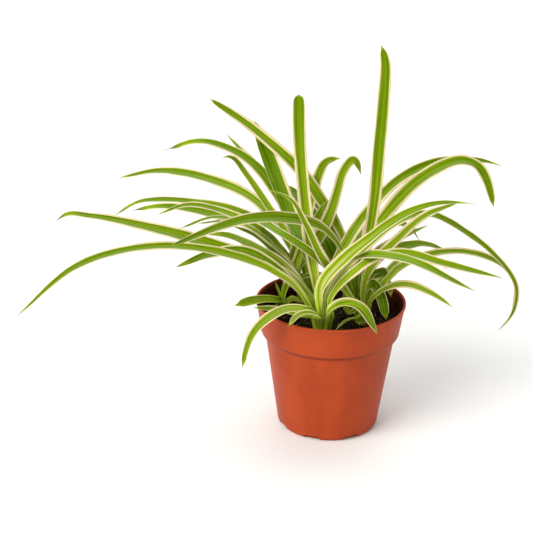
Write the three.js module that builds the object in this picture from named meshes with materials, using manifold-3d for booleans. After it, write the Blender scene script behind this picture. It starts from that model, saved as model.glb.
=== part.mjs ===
// Potted spider plant: a thin plastic nursery pot, the soil in it, five crowns and their leaves.
// Millimetres, +Z up. The origin is the centre of the pot's flat underside. The plant's long
// way, the spread of its arching leaves, runs along X, and its fullest side faces -Y.
import * as THREE from "three";
import { mergeVertices } from "three/addons/utils/BufferGeometryUtils.js";
import Module from "manifold-3d";

// ---- Driving dimensions ----
const POT_HEIGHT = 93;
const RIM_RADIUS = 52.5; // outside, at the lip
const RIM_FOOT_RADIUS = 48.7; // outside, where the rim band ends
const RIM_BAND_HEIGHT = 22.5;
const WALL_TOP_RADIUS = 45.6; // outside, under the step of the rim band
const STEP_HEIGHT = 3;
const BASE_RADIUS = 36;
const BASE_ROUND = 3;
const WALL = 1.4;
const DRAIN_COUNT = 8;
const DRAIN_FIRST = 25; // degrees from +X
const DRAIN_WIDTH = 11;
const DRAIN_HEIGHT = 4.6;
const DRAIN_DEPTH = 5; // how far each slot reaches under the floor

const SOIL_LEVEL = 80;
const SOIL_EDGE_DROP = 2.5;
const SEAT_GAP = 0.3; // left between pieces that rest on each other
const CROWN_DEPTH = 9; // planted below the soil
const CROWN_RISE = 6; // standing above it

const LEAF_THICKNESS = 0.9;
const BASE_WIDTH = 5.2; // of a broad leaf, where it leaves its crown
const SHEATH_RISE = 5; // each leaf starts this far straight up
const OPENING = 0.5; // share of a leaf over which it widens to its full width
const BASE_FOLD = 48; // degrees that each half of the blade is folded up at the base
const BLADE_FOLD = 17; // and along the open blade
const RING_LENGTH = 12; // longest stretch of a leaf between two of its rings
const ROUND = 48; // sides of the round pieces

// ---- Crowns: centre in the pot, and height over the usual crown ----
const CROWNS = {
  front: { x: -7, y: -30, lift: 0 },
  right: { x: 22, y: -12, lift: 0 },
  centre: { x: 15, y: 10, lift: 0 },
  back: { x: -18, y: 23, lift: 0 },
  left: { x: -34, y: 8, lift: -2 },
};

// ---- Leaves: [width, points along the leaf from just over its crown to its tip, options] ----
// front: how far the upper face turns to -Y half way along. 0 is straight up, 0.8 is usual.
// blunt: how long the leaf keeps its width. 3 is usual, and a higher number is a blunter end.
const LEAVES = {
  front: [
    [6.5, [[-23, -34, 114], [-43, -36, 130], [-66, -40, 141], [-115, -49, 151], [-166, -61, 142],
      [-206, -75, 111]]],
    [9.5, [[-21, -22, 111], [-37, -18, 122], [-74, -14, 136], [-122, -11, 149], [-169, -8, 157],
      [-183, -8, 157], [-190, -8, 151]]],
    [9.0, [[-12, -28, 97], [-36, -26, 124], [-60, -24, 138], [-82, -26, 137], [-107, -30, 128]]],
    [10.0, [[-11, -25, 99], [-31, -11, 119], [-53, 1, 131], [-75, 10, 137], [-87, 12, 136]]],
    [16.5, [[-10, -27, 100], [-17, -12, 130], [-28, 11, 150], [-41, 32, 178],
      [-55, 50, 208]], { front: 1.6, blunt: 7 }],
    [9.0, [[-6, -24, 103], [4, -6, 127], [24, 20, 150], [49, 35, 172], [77, 40, 183],
      [105, 43, 183], [122, 45, 178]]],
    [9.5, [[-9, -37, 103], [-8, -42, 123], [5, -42, 140], [17, -41, 151], [47, -37, 172],
      [69, -38, 179], [91, -40, 179]]],
    [6.5, [[-5, -32, 103], [5, -28, 125], [16, -24, 137], [44, -14, 158], [63, -9, 161],
      [83, -7, 152], [108, -9, 134], [124, -15, 116], [126, -20, 105], [121, -26, 92], [113, -30, 84]]],
    [8.6, [[-5, -34, 106], [0, -36, 122], [6, -39, 133], [13, -44, 141], [22, -51, 147], [34, -60, 150],
      [51, -70, 149], [74, -81, 141], [87, -85, 136]]],
    [8.5, [[-3, -44, 104], [0, -46, 109], [7, -49, 112], [14, -52, 112], [20, -53, 107],
      [29, -54, 91]], { front: 0.3 }],
    [9.0, [[-13, -38, 99], [-25, -42, 105], [-44, -46, 99], [-56, -48, 84],
      [-61, -48, 63]], { front: 0.5 }],
    [7.0, [[-11, -42, 98], [-15, -46, 103], [-20, -48, 104], [-26, -50, 101],
      [-31, -52, 95]], { front: 0.2 }],
    [4.5, [[-20, -27, 91], [-29, -25, 94], [-41, -21, 95], [-55, -20, 95]]],
    [8.2, [[-9, -27, 103], [-16, -14, 140], [-21, 0, 175], [-24, 11, 206],
      [-25, 20, 235]], { front: 3, blunt: 10 }],
    [7.3, [[-3, -38, 109], [4, -39, 121], [16, -41, 135], [26, -43, 142], [45, -47, 147],
      [69, -54, 143], [109, -60, 135]]],
  ],
  right: [
    [9.0, [[21, -11, 100], [23, -9, 133], [27, -6, 169], [29, -2, 204], [31, 2, 240], [31, 3, 262],
      [28, 4, 273]], { front: 3, blunt: 9 }],
    [7.5, [[21, -18, 103], [22, -21, 118], [30, -22, 134], [41, -22, 146], [59, -20, 163],
      [84, -16, 172]]],
    [6.5, [[27, -11, 95], [36, -3, 108], [53, 11, 117], [78, 23, 121], [104, 32, 117],
      [124, 36, 107], [136, 39, 90], [136, 40, 68]]],
    [6.5, [[26, -18, 97], [31, -26, 110], [46, -37, 121], [63, -49, 120], [77, -60, 114]]],
    [6.5, [[17, -18, 95], [6, -25, 115], [-9, -36, 140], [-20, -40, 164], [-31, -38, 181],
      [-49, -35, 186]], { front: 1.6 }],
    [10.5, [[23, -11, 96], [25, -13, 106], [28, -17, 112], [32, -21, 109], [35, -24, 100],
      [37, -26, 89]], { front: 2 }],
    [9.5, [[24, -6, 96], [27, -4, 110], [30, -5, 117], [36, -7, 116], [39, -9, 109],
      [41, -11, 100]], { front: 2 }],
    [4.2, [[18, -22, 92], [14, -25, 95], [9, -27, 93]]],
    [7.0, [[30, -6, 101], [46, 20, 113], [68, 44, 111], [90, 62, 92]], { front: 0 }],
    [3.0, [[17, -25, 90], [10, -32, 92], [5, -38, 91], [1, -42, 88]], { front: 0.3 }],
  ],
  centre: [
    [7.0, [[11, 0, 100], [-8, -16, 128], [-27, -17, 143], [-62, 3, 156], [-92, 18, 158],
      [-135, 27, 155], [-155, 30, 142]]],
    [9.8, [[15, 11, 112], [6, 17, 138], [-8, 25, 159], [-21, 31, 176], [-57, 45, 205],
      [-87, 50, 224]], { front: 1.2 }],
    [11.5, [[9, 8, 103], [2, 14, 117], [-7, 28, 133], [-18, 50, 146], [-31, 75, 153]]],
    [10.5, [[12, 14, 103], [7, 26, 119], [-2, 45, 133], [-11, 65, 143], [-23, 85, 148]]],
    [9.0, [[13, -1, 104], [7, -11, 132], [-7, -23, 154], [-25, -37, 166], [-60, -58, 173],
      [-107, -85, 164]], { front: 1.1 }],
    [10.5, [[22, 9, 112], [26, 12, 134], [35, 15, 149], [63, 26, 176], [90, 33, 186],
      [103, 34, 181], [110, 34, 169], [115, 32, 152]]],
    [4.5, [[18, 4, 106], [20, 1, 131], [18, -1, 144]], { front: 1.6 }],
    [6.5, [[20, 13, 99], [31, 27, 117], [52, 44, 124], [74, 60, 128]]],
    [8.0, [[24, 14, 98], [35, 30, 112], [45, 40, 115], [68, 58, 114], [92, 75, 102]]],
    [6.5, [[17, 14, 102], [22, 21, 118], [28, 26, 126], [45, 34, 138], [56, 38, 135], [67, 45, 119]]],
    [9.0, [[17, 22, 108], [20, 45, 122], [24, 72, 122], [29, 98, 102]], { front: 0 }],
    [6.0, [[8, 5, 98], [-2, 3, 108], [-8, 2, 111], [-16, 1, 111], [-24, 0, 108]], { front: 0.4 }],
  ],
  back: [
    [6.5, [[-20, 20, 96], [-30, 9, 121], [-50, 3, 144], [-74, 4, 156], [-100, 7, 160], [-122, 10, 151]]],
    [8.0, [[-25, 27, 99], [-36, 33, 117], [-58, 41, 133], [-88, 52, 138], [-120, 64, 139],
      [-148, 75, 131]]],
    [6.0, [[-20, 12, 96], [-29, 3, 120], [-59, -10, 151], [-80, -15, 159], [-105, -18, 151]]],
    [6.3, [[-21, 18, 97], [-26, 14, 108], [-38, 8, 123], [-56, 5, 140], [-70, 4, 146]]],
    [9.0, [[-22, 31, 103], [-36, 45, 129], [-55, 61, 146], [-84, 76, 155], [-124, 93, 157],
      [-159, 105, 147]]],
    [5.8, [[-17, 25, 98], [-25, 31, 121], [-40, 43, 140], [-69, 69, 173], [-77, 74, 177],
      [-80, 75, 174]], { blunt: 5 }],
    [8.5, [[-17, 25, 98], [-23, 29, 120], [-36, 39, 153], [-59, 53, 178], [-93, 66, 188], [-124, 72, 178]]],
    [6.5, [[-18, 31, 98], [-21, 38, 112], [-33, 58, 141], [-49, 75, 162], [-77, 95, 186]]],
    [8.0, [[-15, 30, 100], [-12, 50, 118], [-8, 76, 122], [-2, 100, 104]], { front: 0 }],
    [7.0, [[-24, 34, 100], [-40, 58, 114], [-66, 88, 119], [-100, 112, 108]], { front: 0.3 }],
  ],
  left: [
    [6.0, [[-36, 4, 88], [-41, -2, 93], [-57, -11, 96], [-67, -15, 94]]],
    [9.2, [[-33, 11, 96], [-25, 12, 111], [-14, 13, 127], [-5, 16, 142], [2, 22, 160], [7, 27, 177],
      [13, 31, 187], [20, 28, 176]]],
    [9.2, [[-32, 12, 96], [-19, 25, 142], [-10, 34, 172], [-2, 39, 184], [6, 38, 185]]],
    [3.2, [[-36, 8, 92], [-38, 6, 99], [-40, 5, 106]]],
    [5.5, [[-30, 5, 88], [-25, 5, 91], [-20, 6, 90], [-16, 6, 86]], { front: 0.2 }],
    [7.0, [[-31, 9, 98], [-27, 8, 110], [-22, 7, 126], [-17, 6, 138], [-12, 5, 150],
      [-5, 4, 165]], { front: 1.6 }],
  ],
};

const DEG = Math.PI / 180;
const UP = new THREE.Vector3(0, 0, 1);
const FRONT = new THREE.Vector3(0, -1, 0);

const wasm = await Module();
wasm.setup();

// ---- Materials ----
const standard = (color, roughness) => new THREE.MeshStandardMaterial({ color, roughness, metalness: 0 });
const potPlastic = () => standard(0xb4552f, 0.42);
const pottingSoil = () => standard(0x2b1d15, 0.95);
const paleStem = () => standard(0xd9dba6, 0.5);
const leafGreen = () => standard(0x77a032, 0.38);

// ---- Solids ----
// A closed geometry with merged vertices as a manifold-3d solid.
function solidOf(geometry) {
  const bare = geometry.index ? geometry.toNonIndexed() : geometry.clone();
  bare.deleteAttribute("normal");
  bare.deleteAttribute("uv");
  const merged = mergeVertices(bare, 1e-4);
  const vertProperties = new Float32Array(merged.attributes.position.array);
  const triVerts = new Uint32Array(merged.index.array);
  return new wasm.Manifold(new wasm.Mesh({ numProp: 3, vertProperties, triVerts }));
}

function geometryOf(solid) {
  const mesh = solid.getMesh();
  const positions = new Float32Array(mesh.numVert * 3);
  for (let i = 0; i < mesh.numVert; i++) {
    positions.set(mesh.vertProperties.subarray(i * mesh.numProp, i * mesh.numProp + 3), i * 3);
  }
  const geometry = new THREE.BufferGeometry();
  geometry.setAttribute("position", new THREE.BufferAttribute(positions, 3));
  geometry.setIndex(new THREE.BufferAttribute(new Uint32Array(mesh.triVerts), 1));
  geometry.computeVertexNormals();
  return geometry;
}

// Turns a profile of [radius, height] pairs, from the axis below to the axis above, about +Z.
function turned(profile, sides = ROUND) {
  const geometry = new THREE.LatheGeometry(profile.map(([r, z]) => new THREE.Vector2(r, z)), sides);
  return geometry.rotateX(Math.PI / 2);
}

function named(name, geometry, material) {
  const mesh = new THREE.Mesh(geometry, material);
  mesh.name = name;
  return mesh;
}

// ---- Pot ----
const RIM_FOOT = POT_HEIGHT - RIM_BAND_HEIGHT;
const STEP_FOOT = RIM_FOOT - STEP_HEIGHT;
const baseCorner = [0, 30, 60, 90].map((angle) => [
  BASE_RADIUS - BASE_ROUND * (1 - Math.sin(angle * DEG)),
  BASE_ROUND * (1 - Math.cos(angle * DEG)),
]);
const potOutside = [
  [0, 0],
  ...baseCorner,
  [WALL_TOP_RADIUS, STEP_FOOT],
  [RIM_FOOT_RADIUS, RIM_FOOT],
  [RIM_RADIUS, POT_HEIGHT - 1],
  [RIM_RADIUS - WALL / 2, POT_HEIGHT],
];
const potInside = [
  [RIM_RADIUS - WALL, POT_HEIGHT - 1],
  [RIM_FOOT_RADIUS - WALL, RIM_FOOT + 1],
  [WALL_TOP_RADIUS - WALL, STEP_FOOT + 1],
  [BASE_RADIUS - WALL, BASE_ROUND + WALL],
  [BASE_RADIUS - BASE_ROUND, WALL],
  [0, WALL],
];

function drainCutter(index) {
  const far = BASE_RADIUS + 6;
  const near = BASE_RADIUS - DRAIN_DEPTH;
  const cutter = new THREE.BoxGeometry(far - near, DRAIN_WIDTH, DRAIN_HEIGHT + 1);
  cutter.translate((far + near) / 2, 0, (DRAIN_HEIGHT - 1) / 2);
  return cutter.rotateZ((DRAIN_FIRST + (index * 360) / DRAIN_COUNT) * DEG);
}

function potGeometry() {
  let solid = solidOf(turned([...potOutside, ...potInside]));
  for (let i = 0; i < DRAIN_COUNT; i++) {
    solid = solid.subtract(solidOf(drainCutter(i)));
  }
  return geometryOf(solid);
}

// ---- Crowns and soil ----
const crownNames = Object.keys(CROWNS);
// The leaves of one crown leave its top in a spiral, so its size follows their number.
const seatDisc = (name) => 2.5 * Math.sqrt(LEAVES[name].length);
const crownRadius = (name) => seatDisc(name) + 1.6;
const crownTop = (name) => SOIL_LEVEL + CROWN_RISE + CROWNS[name].lift;
const crownFoot = (name) => crownTop(name) - CROWN_RISE - CROWN_DEPTH;

function crownShape(name, spare) {
  const radius = crownRadius(name) + spare;
  const foot = crownFoot(name) - spare;
  const geometry = turned([
    [0, foot],
    [radius - 1.5, foot],
    [radius, foot + 1.5],
    [radius, crownTop(name) - 1.2],
    [radius - 1.2, crownTop(name)],
    [0, crownTop(name)],
  ], 24);
  return geometry.translate(CROWNS[name].x, CROWNS[name].y, 0);
}

// Fills the pot a gap away from its wall, with a socket for each crown.
function soilGeometry() {
  const side = potInside.slice(1, 5).reverse();
  const slope = (RIM_RADIUS - RIM_FOOT_RADIUS) / RIM_BAND_HEIGHT;
  const edge = SOIL_LEVEL - SOIL_EDGE_DROP;
  const edgeRadius = RIM_FOOT_RADIUS - WALL + slope * (edge - RIM_FOOT - 1);
  const profile = [
    [0, WALL + SEAT_GAP],
    ...side.map(([r, z], i) => [r - SEAT_GAP - 0.1, i === 0 ? z + SEAT_GAP : z + 0.1]),
    [edgeRadius - SEAT_GAP - 0.1, edge],
    [edgeRadius - 5, SOIL_LEVEL - 0.8],
    [edgeRadius - 12, SOIL_LEVEL],
    [0, SOIL_LEVEL],
  ];
  let solid = solidOf(turned(profile));
  for (const name of crownNames) {
    solid = solid.subtract(solidOf(crownShape(name, SEAT_GAP)));
  }
  return geometryOf(solid);
}

// ---- Leaf seats ----
// Each leaf of a crown takes one place of a spiral on the crown's flat top. Two leaves change
// places while that shortens their ways to their first points, so they don't cross at the base.
function seatsOf(name) {
  const { x, y } = CROWNS[name];
  const count = LEAVES[name].length;
  const spots = Array.from({ length: count }, (_, k) => {
    const radius = seatDisc(name) * Math.sqrt((k + 0.5) / count);
    const angle = k * 137.5 * DEG;
    const spot = new THREE.Vector3(radius * Math.cos(angle), radius * Math.sin(angle), 0);
    return spot.add(new THREE.Vector3(x, y, crownTop(name) + SEAT_GAP));
  });
  const aims = LEAVES[name].map(([, points]) => {
    const aim = new THREE.Vector3(...points[0]).add(new THREE.Vector3(...points[1])).multiplyScalar(0.5);
    return aim.setZ(crownTop(name));
  });
  const cost = (leaf, spot) => aims[leaf].distanceToSquared(spots[spot]);
  const place = spots.map((_, k) => k);
  for (let changed = true; changed; ) {
    changed = false;
    for (let a = 0; a < count; a++) {
      for (let b = a + 1; b < count; b++) {
        if (cost(a, place[b]) + cost(b, place[a]) < cost(a, place[a]) + cost(b, place[b]) - 1e-6) {
          [place[a], place[b]] = [place[b], place[a]];
          changed = true;
        }
      }
    }
  }
  return place.map((k) => spots[k]);
}

// ---- Leaf stations ----
// A leaf is followed from its seat to its tip in short steps, its stations. Each station has a
// centre, and from the leaf's run there a side and a face direction.
const STATION_LENGTH = 2.6;
const smooth = (x) => THREE.MathUtils.smoothstep(x, 0, 1);

class Leaf {
  constructor(name, seat, [width, points, { front = 0.8, blunt = 3 } = {}]) {
    this.name = name;
    this.width = width;
    this.blunt = blunt;
    const sheath = seat.clone().add(new THREE.Vector3(0, 0, SHEATH_RISE));
    const knots = [seat, sheath, ...points.map((p) => new THREE.Vector3(...p))];
    const curve = new THREE.CatmullRomCurve3(knots, false, "centripetal");
    curve.arcLengthDivisions = 600;
    this.length = curve.getLength();
    this.steps = Math.ceil(this.length / STATION_LENGTH);
    this.centres = curve.getSpacedPoints(this.steps);
    this.facing = UP.clone().addScaledVector(FRONT, front);
    this.turnFrames();
    this.rings = Math.max(6, Math.ceil(this.length / RING_LENGTH));
  }

  // Half the leaf's width, as a share of the way to the tip.
  halfWidth(t) {
    const base = Math.min(BASE_WIDTH / this.width, 0.85);
    const opening = THREE.MathUtils.lerp(base, 1, smooth(t / OPENING));
    const late = Math.max(0, (t - 0.3) / 0.7);
    return (this.width / 2) * opening * (1 - late ** this.blunt);
  }

  fold(t) {
    return THREE.MathUtils.lerp(BASE_FOLD, BLADE_FOLD, smooth((t * this.length) / 55)) * DEG;
  }

  // Half way along, the upper face looks up and to the front. From there it follows the leaf's
  // bends to both ends with no twist of its own.
  turnFrames() {
    const tangents = this.centres.map((_, i) => {
      const before = this.centres[Math.max(i - 1, 0)];
      const after = this.centres[Math.min(i + 1, this.steps)];
      return after.clone().sub(before).normalize();
    });
    const square = (face, tangent) => face.clone().addScaledVector(tangent, -face.dot(tangent)).normalize();
    const middle = Math.round(this.steps / 2);
    const faces = [];
    faces[middle] = square(this.facing, tangents[middle]);
    for (let i = middle + 1; i <= this.steps; i++) faces[i] = square(faces[i - 1], tangents[i]);
    for (let i = middle - 1; i >= 0; i--) faces[i] = square(faces[i + 1], tangents[i]);
    this.frames = this.centres.map((centre, i) => {
      const [tangent, face] = [tangents[i], faces[i]];
      return { centre, tangent, face, side: tangent.clone().cross(face) };
    });
  }

  // Centre, tangent, face and side at a share of the way to the tip.
  frame(t) {
    const x = t * this.steps;
    const i = Math.min(Math.floor(x), this.steps - 1);
    const [a, b] = [this.frames[i], this.frames[i + 1]];
    const blend = (key) => a[key].clone().lerp(b[key], x - i);
    return {
      centre: blend("centre"),
      tangent: blend("tangent").normalize(),
      face: blend("face").normalize(),
      side: blend("side").normalize(),
    };
  }

  // A point of the upper face: across runs from -1 at one edge to 1 at the other. The centre
  // line runs half way up the fold.
  point({ centre, side, face }, t, across, lift = 0) {
    const reach = this.halfWidth(t);
    const rise = reach * (Math.abs(across) - 0.5) * Math.sin(this.fold(t));
    return centre
      .clone()
      .addScaledVector(side, reach * across * Math.cos(this.fold(t)))
      .addScaledVector(face, rise + lift);
  }
}

const leaves = [];
for (const name of crownNames) {
  const seats = seatsOf(name);
  LEAVES[name].forEach((leaf, i) => {
    const number = String(i + 1).padStart(2, "0");
    leaves.push(new Leaf(`leaf_${name}_${number}`, seats[i], leaf));
  });
}

// ---- Easing leaves apart ----
// Leaves that would pass through each other are eased apart, front to back and a little down,
// in small steps, as real ones lie against each other. The seats stay.
const EASE = new THREE.Vector3(0, 1, -0.36).normalize();
const EASE_PASSES = 140;
const CLEARANCE = 3.3;
const SEAT_CLEARANCE = 1.3;
const FREE_LENGTH = 20; // from the seat to where a leaf is fully free to move

function samplesOf(leaf, index) {
  const samples = [];
  for (let i = 0; i <= leaf.steps; i++) {
    const t = i / leaf.steps;
    const frame = leaf.frame(t);
    const half = leaf.halfWidth(t);
    const across = Math.max(1, Math.ceil((2 * half) / 3));
    const free = Math.min(1, (t * leaf.length) / FREE_LENGTH);
    for (let k = 0; k <= across; k++) {
      const point = leaf.point(frame, t, half > 0.3 ? (2 * k) / across - 1 : 0);
      const reach = THREE.MathUtils.lerp(SEAT_CLEARANCE, CLEARANCE, free);
      samples.push({ leaf: index, station: i, free, point, reach });
    }
  }
  return samples;
}

// Which of two leaves lies in front is settled once, where they first come close.
const order = new Map();

// Keeps the largest move asked of a station.
function shove(moves, station, move) {
  if (Math.abs(moves[station]) < Math.abs(move)) moves[station] = move;
}

function easeOnce() {
  const samples = leaves.flatMap(samplesOf);
  const cells = new Map();
  const cellOf = (v) => Math.floor(v / CLEARANCE);
  const keyOf = (x, y, z) => (x + 500) * 1e6 + (y + 500) * 1e3 + (z + 500);
  for (const sample of samples) {
    const key = keyOf(cellOf(sample.point.x), cellOf(sample.point.y), cellOf(sample.point.z));
    if (!cells.has(key)) cells.set(key, []);
    cells.get(key).push(sample);
  }
  const contacts = new Map();
  for (const a of samples) {
    const [cx, cy, cz] = [cellOf(a.point.x), cellOf(a.point.y), cellOf(a.point.z)];
    for (let dx = -1; dx <= 1; dx++) {
      for (let dy = -1; dy <= 1; dy++) {
        for (let dz = -1; dz <= 1; dz++) {
          for (const b of cells.get(keyOf(cx + dx, cy + dy, cz + dz)) ?? []) {
            if (b.leaf <= a.leaf) continue;
            const between = b.point.clone().sub(a.point);
            const gap = Math.min(a.reach, b.reach) - between.length();
            if (gap <= 0) continue;
            const key = `${a.leaf} ${b.leaf}`;
            if (!contacts.has(key)) contacts.set(key, { depth: 0, pairs: [] });
            contacts.get(key).depth += between.dot(EASE);
            contacts.get(key).pairs.push([a, b, gap]);
          }
        }
      }
    }
  }
  const push = leaves.map((leaf) => new Float64Array(leaf.steps + 1));
  for (const [key, { depth, pairs }] of contacts) {
    if (!order.has(key)) order.set(key, depth >= 0 ? 1 : -1);
    const way = order.get(key);
    for (const [a, b, gap] of pairs) {
      const share = a.free / (a.free + b.free + 1e-6);
      const step = 0.5 * Math.min(gap, 1.2) * way;
      shove(push[a.leaf], a.station, -step * share);
      shove(push[b.leaf], b.station, step * (1 - share));
    }
  }
  leaves.forEach((leaf, n) => {
    let moves = push[n];
    for (let pass = 0; pass < 5; pass++) {
      moves = moves.map((move, i) => {
        const beside = moves[Math.max(i - 1, 0)] + moves[Math.min(i + 1, leaf.steps)];
        return (beside + 2 * move) / 4;
      });
    }
    leaf.centres.forEach((centre, i) => {
      const free = Math.min(1, (i * STATION_LENGTH) / FREE_LENGTH);
      centre.addScaledVector(EASE, moves[i] * free);
    });
    leaf.turnFrames();
  });
  return contacts.size;
}

for (let pass = 0; pass < EASE_PASSES; pass++) {
  if (easeOnce() === 0) break;
}

// ---- Leaf solids ----
// A leaf is rings of four points, edge, groove, edge and keel, closed by the base and the tip.
// Its upper and lower faces are split along the same lines, so it stays as thick where it twists.
function leafGeometry(leaf) {
  const positions = [];
  const faces = [];
  for (let i = 0; i < leaf.rings; i++) {
    const t = i / leaf.rings;
    const frame = leaf.frame(t);
    if (i === 0) {
      frame.tangent.copy(UP);
      frame.face.setZ(0).normalize();
      frame.side.copy(UP).cross(frame.face);
    }
    const thick = LEAF_THICKNESS * (1 - 0.5 * t);
    for (const [across, lift] of [[-1, 0], [0, thick * 0.4], [1, 0], [0, -thick * 0.6]]) {
      positions.push(...leaf.point(frame, t, across, lift).toArray());
    }
  }
  positions.push(...leaf.centres[leaf.steps].toArray());
  const tip = leaf.rings * 4;
  for (let i = 0; i < leaf.rings; i++) {
    for (let k = 0; k < 4; k++) {
      const a = i * 4 + k;
      const b = i * 4 + ((k + 1) % 4);
      if (i === leaf.rings - 1) {
        faces.push(a, b, tip);
      } else if (k < 2) {
        faces.push(a, b, a + 4, b, b + 4, a + 4);
      } else {
        faces.push(a, b, b + 4, a, b + 4, a + 4);
      }
    }
  }
  faces.push(0, 3, 1, 1, 3, 2);
  const geometry = new THREE.BufferGeometry();
  geometry.setAttribute("position", new THREE.Float32BufferAttribute(positions, 3));
  geometry.setIndex(faces);
  geometry.computeVertexNormals();
  return geometry;
}

// ---- Assembly ----
const plant = new THREE.Group();
plant.add(named("pot", potGeometry(), potPlastic()));
plant.add(named("soil", soilGeometry(), pottingSoil()));
for (const name of crownNames) {
  plant.add(named(`crown_${name}`, crownShape(name, 0), paleStem()));
}
for (const leaf of leaves) {
  plant.add(named(leaf.name, leafGeometry(leaf), leafGreen()));
}

export default plant;
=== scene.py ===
"""Potted spider plant: a thin plastic nursery pot, potting soil, five crowns and their leaves.

Metres, +Z up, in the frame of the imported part. The origin is the centre of the pot's underside.
Laid out as an add-on: settings first, then the makers, then one operator for each kind of piece.
"""

import math
import random
from itertools import combinations

import bmesh
import bpy
import numpy as np
from bpy.props import FloatProperty, FloatVectorProperty, IntProperty, PointerProperty
from mathutils import Euler, Matrix, Vector, noise


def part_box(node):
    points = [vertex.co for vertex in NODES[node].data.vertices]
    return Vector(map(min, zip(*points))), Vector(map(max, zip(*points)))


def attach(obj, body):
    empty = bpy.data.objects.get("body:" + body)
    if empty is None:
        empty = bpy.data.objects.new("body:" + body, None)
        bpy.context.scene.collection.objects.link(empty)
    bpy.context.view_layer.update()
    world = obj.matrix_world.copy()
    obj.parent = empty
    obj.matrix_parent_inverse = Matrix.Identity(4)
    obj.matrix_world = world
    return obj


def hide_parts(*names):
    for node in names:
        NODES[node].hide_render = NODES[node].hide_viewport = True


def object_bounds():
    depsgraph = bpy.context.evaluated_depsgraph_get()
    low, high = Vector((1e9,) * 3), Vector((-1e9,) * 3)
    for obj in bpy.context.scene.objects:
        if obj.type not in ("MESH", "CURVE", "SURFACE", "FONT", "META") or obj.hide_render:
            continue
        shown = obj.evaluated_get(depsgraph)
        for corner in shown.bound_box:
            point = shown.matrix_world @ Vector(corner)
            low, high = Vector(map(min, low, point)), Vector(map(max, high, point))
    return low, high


bl_info = {
    "name": "Potted Spider Plant",
    "version": (1, 0, 0),
    "blender": (4, 5, 0),
    "location": "3D View > Sidebar > Spider Plant",
    "description": "Builds a potted spider plant around its packed frame",
    "category": "Object",
}

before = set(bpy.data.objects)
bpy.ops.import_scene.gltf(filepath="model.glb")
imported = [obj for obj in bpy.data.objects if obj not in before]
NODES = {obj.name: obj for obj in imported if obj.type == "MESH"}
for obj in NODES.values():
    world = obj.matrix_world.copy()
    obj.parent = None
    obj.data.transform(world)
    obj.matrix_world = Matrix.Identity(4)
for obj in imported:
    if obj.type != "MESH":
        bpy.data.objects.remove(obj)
CAD_LOW, CAD_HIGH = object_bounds()
BODY = "root"
MM = 0.001
_, POT_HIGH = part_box("pot")
SOIL_LOW, SOIL_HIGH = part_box("soil")
CROWNS = [name.removeprefix("crown_") for name in NODES if name.startswith("crown_")]


def srgb(red, green, blue):
    """A linear colour from display values of 0 to 255."""
    values = []
    for value in (red / 255, green / 255, blue / 255):
        values.append(value / 12.92 if value <= 0.04045 else ((value + 0.055) / 1.055) ** 2.4)
    return tuple(values)


# ---- Settings ----
class PotSettings(bpy.types.PropertyGroup):
    """Sizes and finish of the nursery pot. Its lip and height come from the frame."""

    wall: FloatProperty(
        name="Wall", description="Thickness of the plastic",
        default=1.4 * MM, unit="LENGTH", precision=5,
    )
    rim_band: FloatProperty(
        name="Rim band", description="Height of the wide band",
        default=22.5 * MM, unit="LENGTH", precision=5,
    )
    rim_foot: FloatProperty(
        name="Rim foot", description="Outside radius under the band",
        default=48.7 * MM, unit="LENGTH", precision=5,
    )
    step: FloatProperty(
        name="Step", description="Height of the sloping step",
        default=3.0 * MM, unit="LENGTH", precision=5,
    )
    wall_top: FloatProperty(
        name="Wall top", description="Outside radius under the step",
        default=45.6 * MM, unit="LENGTH", precision=5,
    )
    base: FloatProperty(
        name="Base", description="Outside radius at the foot",
        default=36.0 * MM, unit="LENGTH", precision=5,
    )
    base_round: FloatProperty(
        name="Base round", description="Radius of the rounded foot",
        default=3.0 * MM, unit="LENGTH", precision=5,
    )
    drains: IntProperty(
        name="Drain slots", description="Number of slots round the foot",
        default=8, min=3, max=16,
    )
    drain_first: FloatProperty(
        name="First slot", description="Angle of the first slot from +X",
        default=math.radians(25), subtype="ANGLE",
    )
    drain_width: FloatProperty(
        name="Slot width", description="Width of a drain slot",
        default=11.0 * MM, unit="LENGTH", precision=5,
    )
    drain_height: FloatProperty(
        name="Slot height", description="How high a slot reaches",
        default=4.6 * MM, unit="LENGTH", precision=5,
    )
    drain_depth: FloatProperty(
        name="Slot depth", description="How far a slot reaches under",
        default=5.0 * MM, unit="LENGTH", precision=5,
    )
    plastic: FloatVectorProperty(
        name="Plastic", description="Colour of the plastic",
        default=srgb(168, 66, 32), subtype="COLOR", min=0, max=1,
    )
    scuff: FloatVectorProperty(
        name="Scuffs", description="Colour of rubbed places",
        default=srgb(200, 100, 62), subtype="COLOR", min=0, max=1,
    )
    roughness: FloatProperty(
        name="Roughness", description="Satin of the plastic",
        default=0.42, min=0, max=1, subtype="FACTOR",
    )


class SoilSettings(bpy.types.PropertyGroup):
    """The potting mix: its crumbs, fibres and colours."""

    crumbs: IntProperty(
        name="Crumbs", description="Loose crumbs on the surface",
        default=900, min=0, max=2000,
    )
    fibres: IntProperty(
        name="Fibres", description="Loose fibres on the surface",
        default=130, min=0, max=400,
    )
    heave: FloatProperty(
        name="Heave", description="Height of the surface's lumps",
        default=1.6 * MM, unit="LENGTH", precision=5,
    )
    peat: FloatVectorProperty(
        name="Peat", description="Colour of the moist peat",
        default=srgb(30, 18, 11), subtype="COLOR", min=0, max=1,
    )
    bark: FloatVectorProperty(
        name="Bark", description="Colour of bark and fibres",
        default=srgb(126, 92, 58), subtype="COLOR", min=0, max=1,
    )
    moss: FloatVectorProperty(
        name="Moss", description="Colour of mossy crumbs",
        default=srgb(92, 92, 44), subtype="COLOR", min=0, max=1,
    )
    perlite: FloatVectorProperty(
        name="Perlite", description="Colour of the pale grains",
        default=srgb(196, 186, 164), subtype="COLOR", min=0, max=1,
    )


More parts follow.
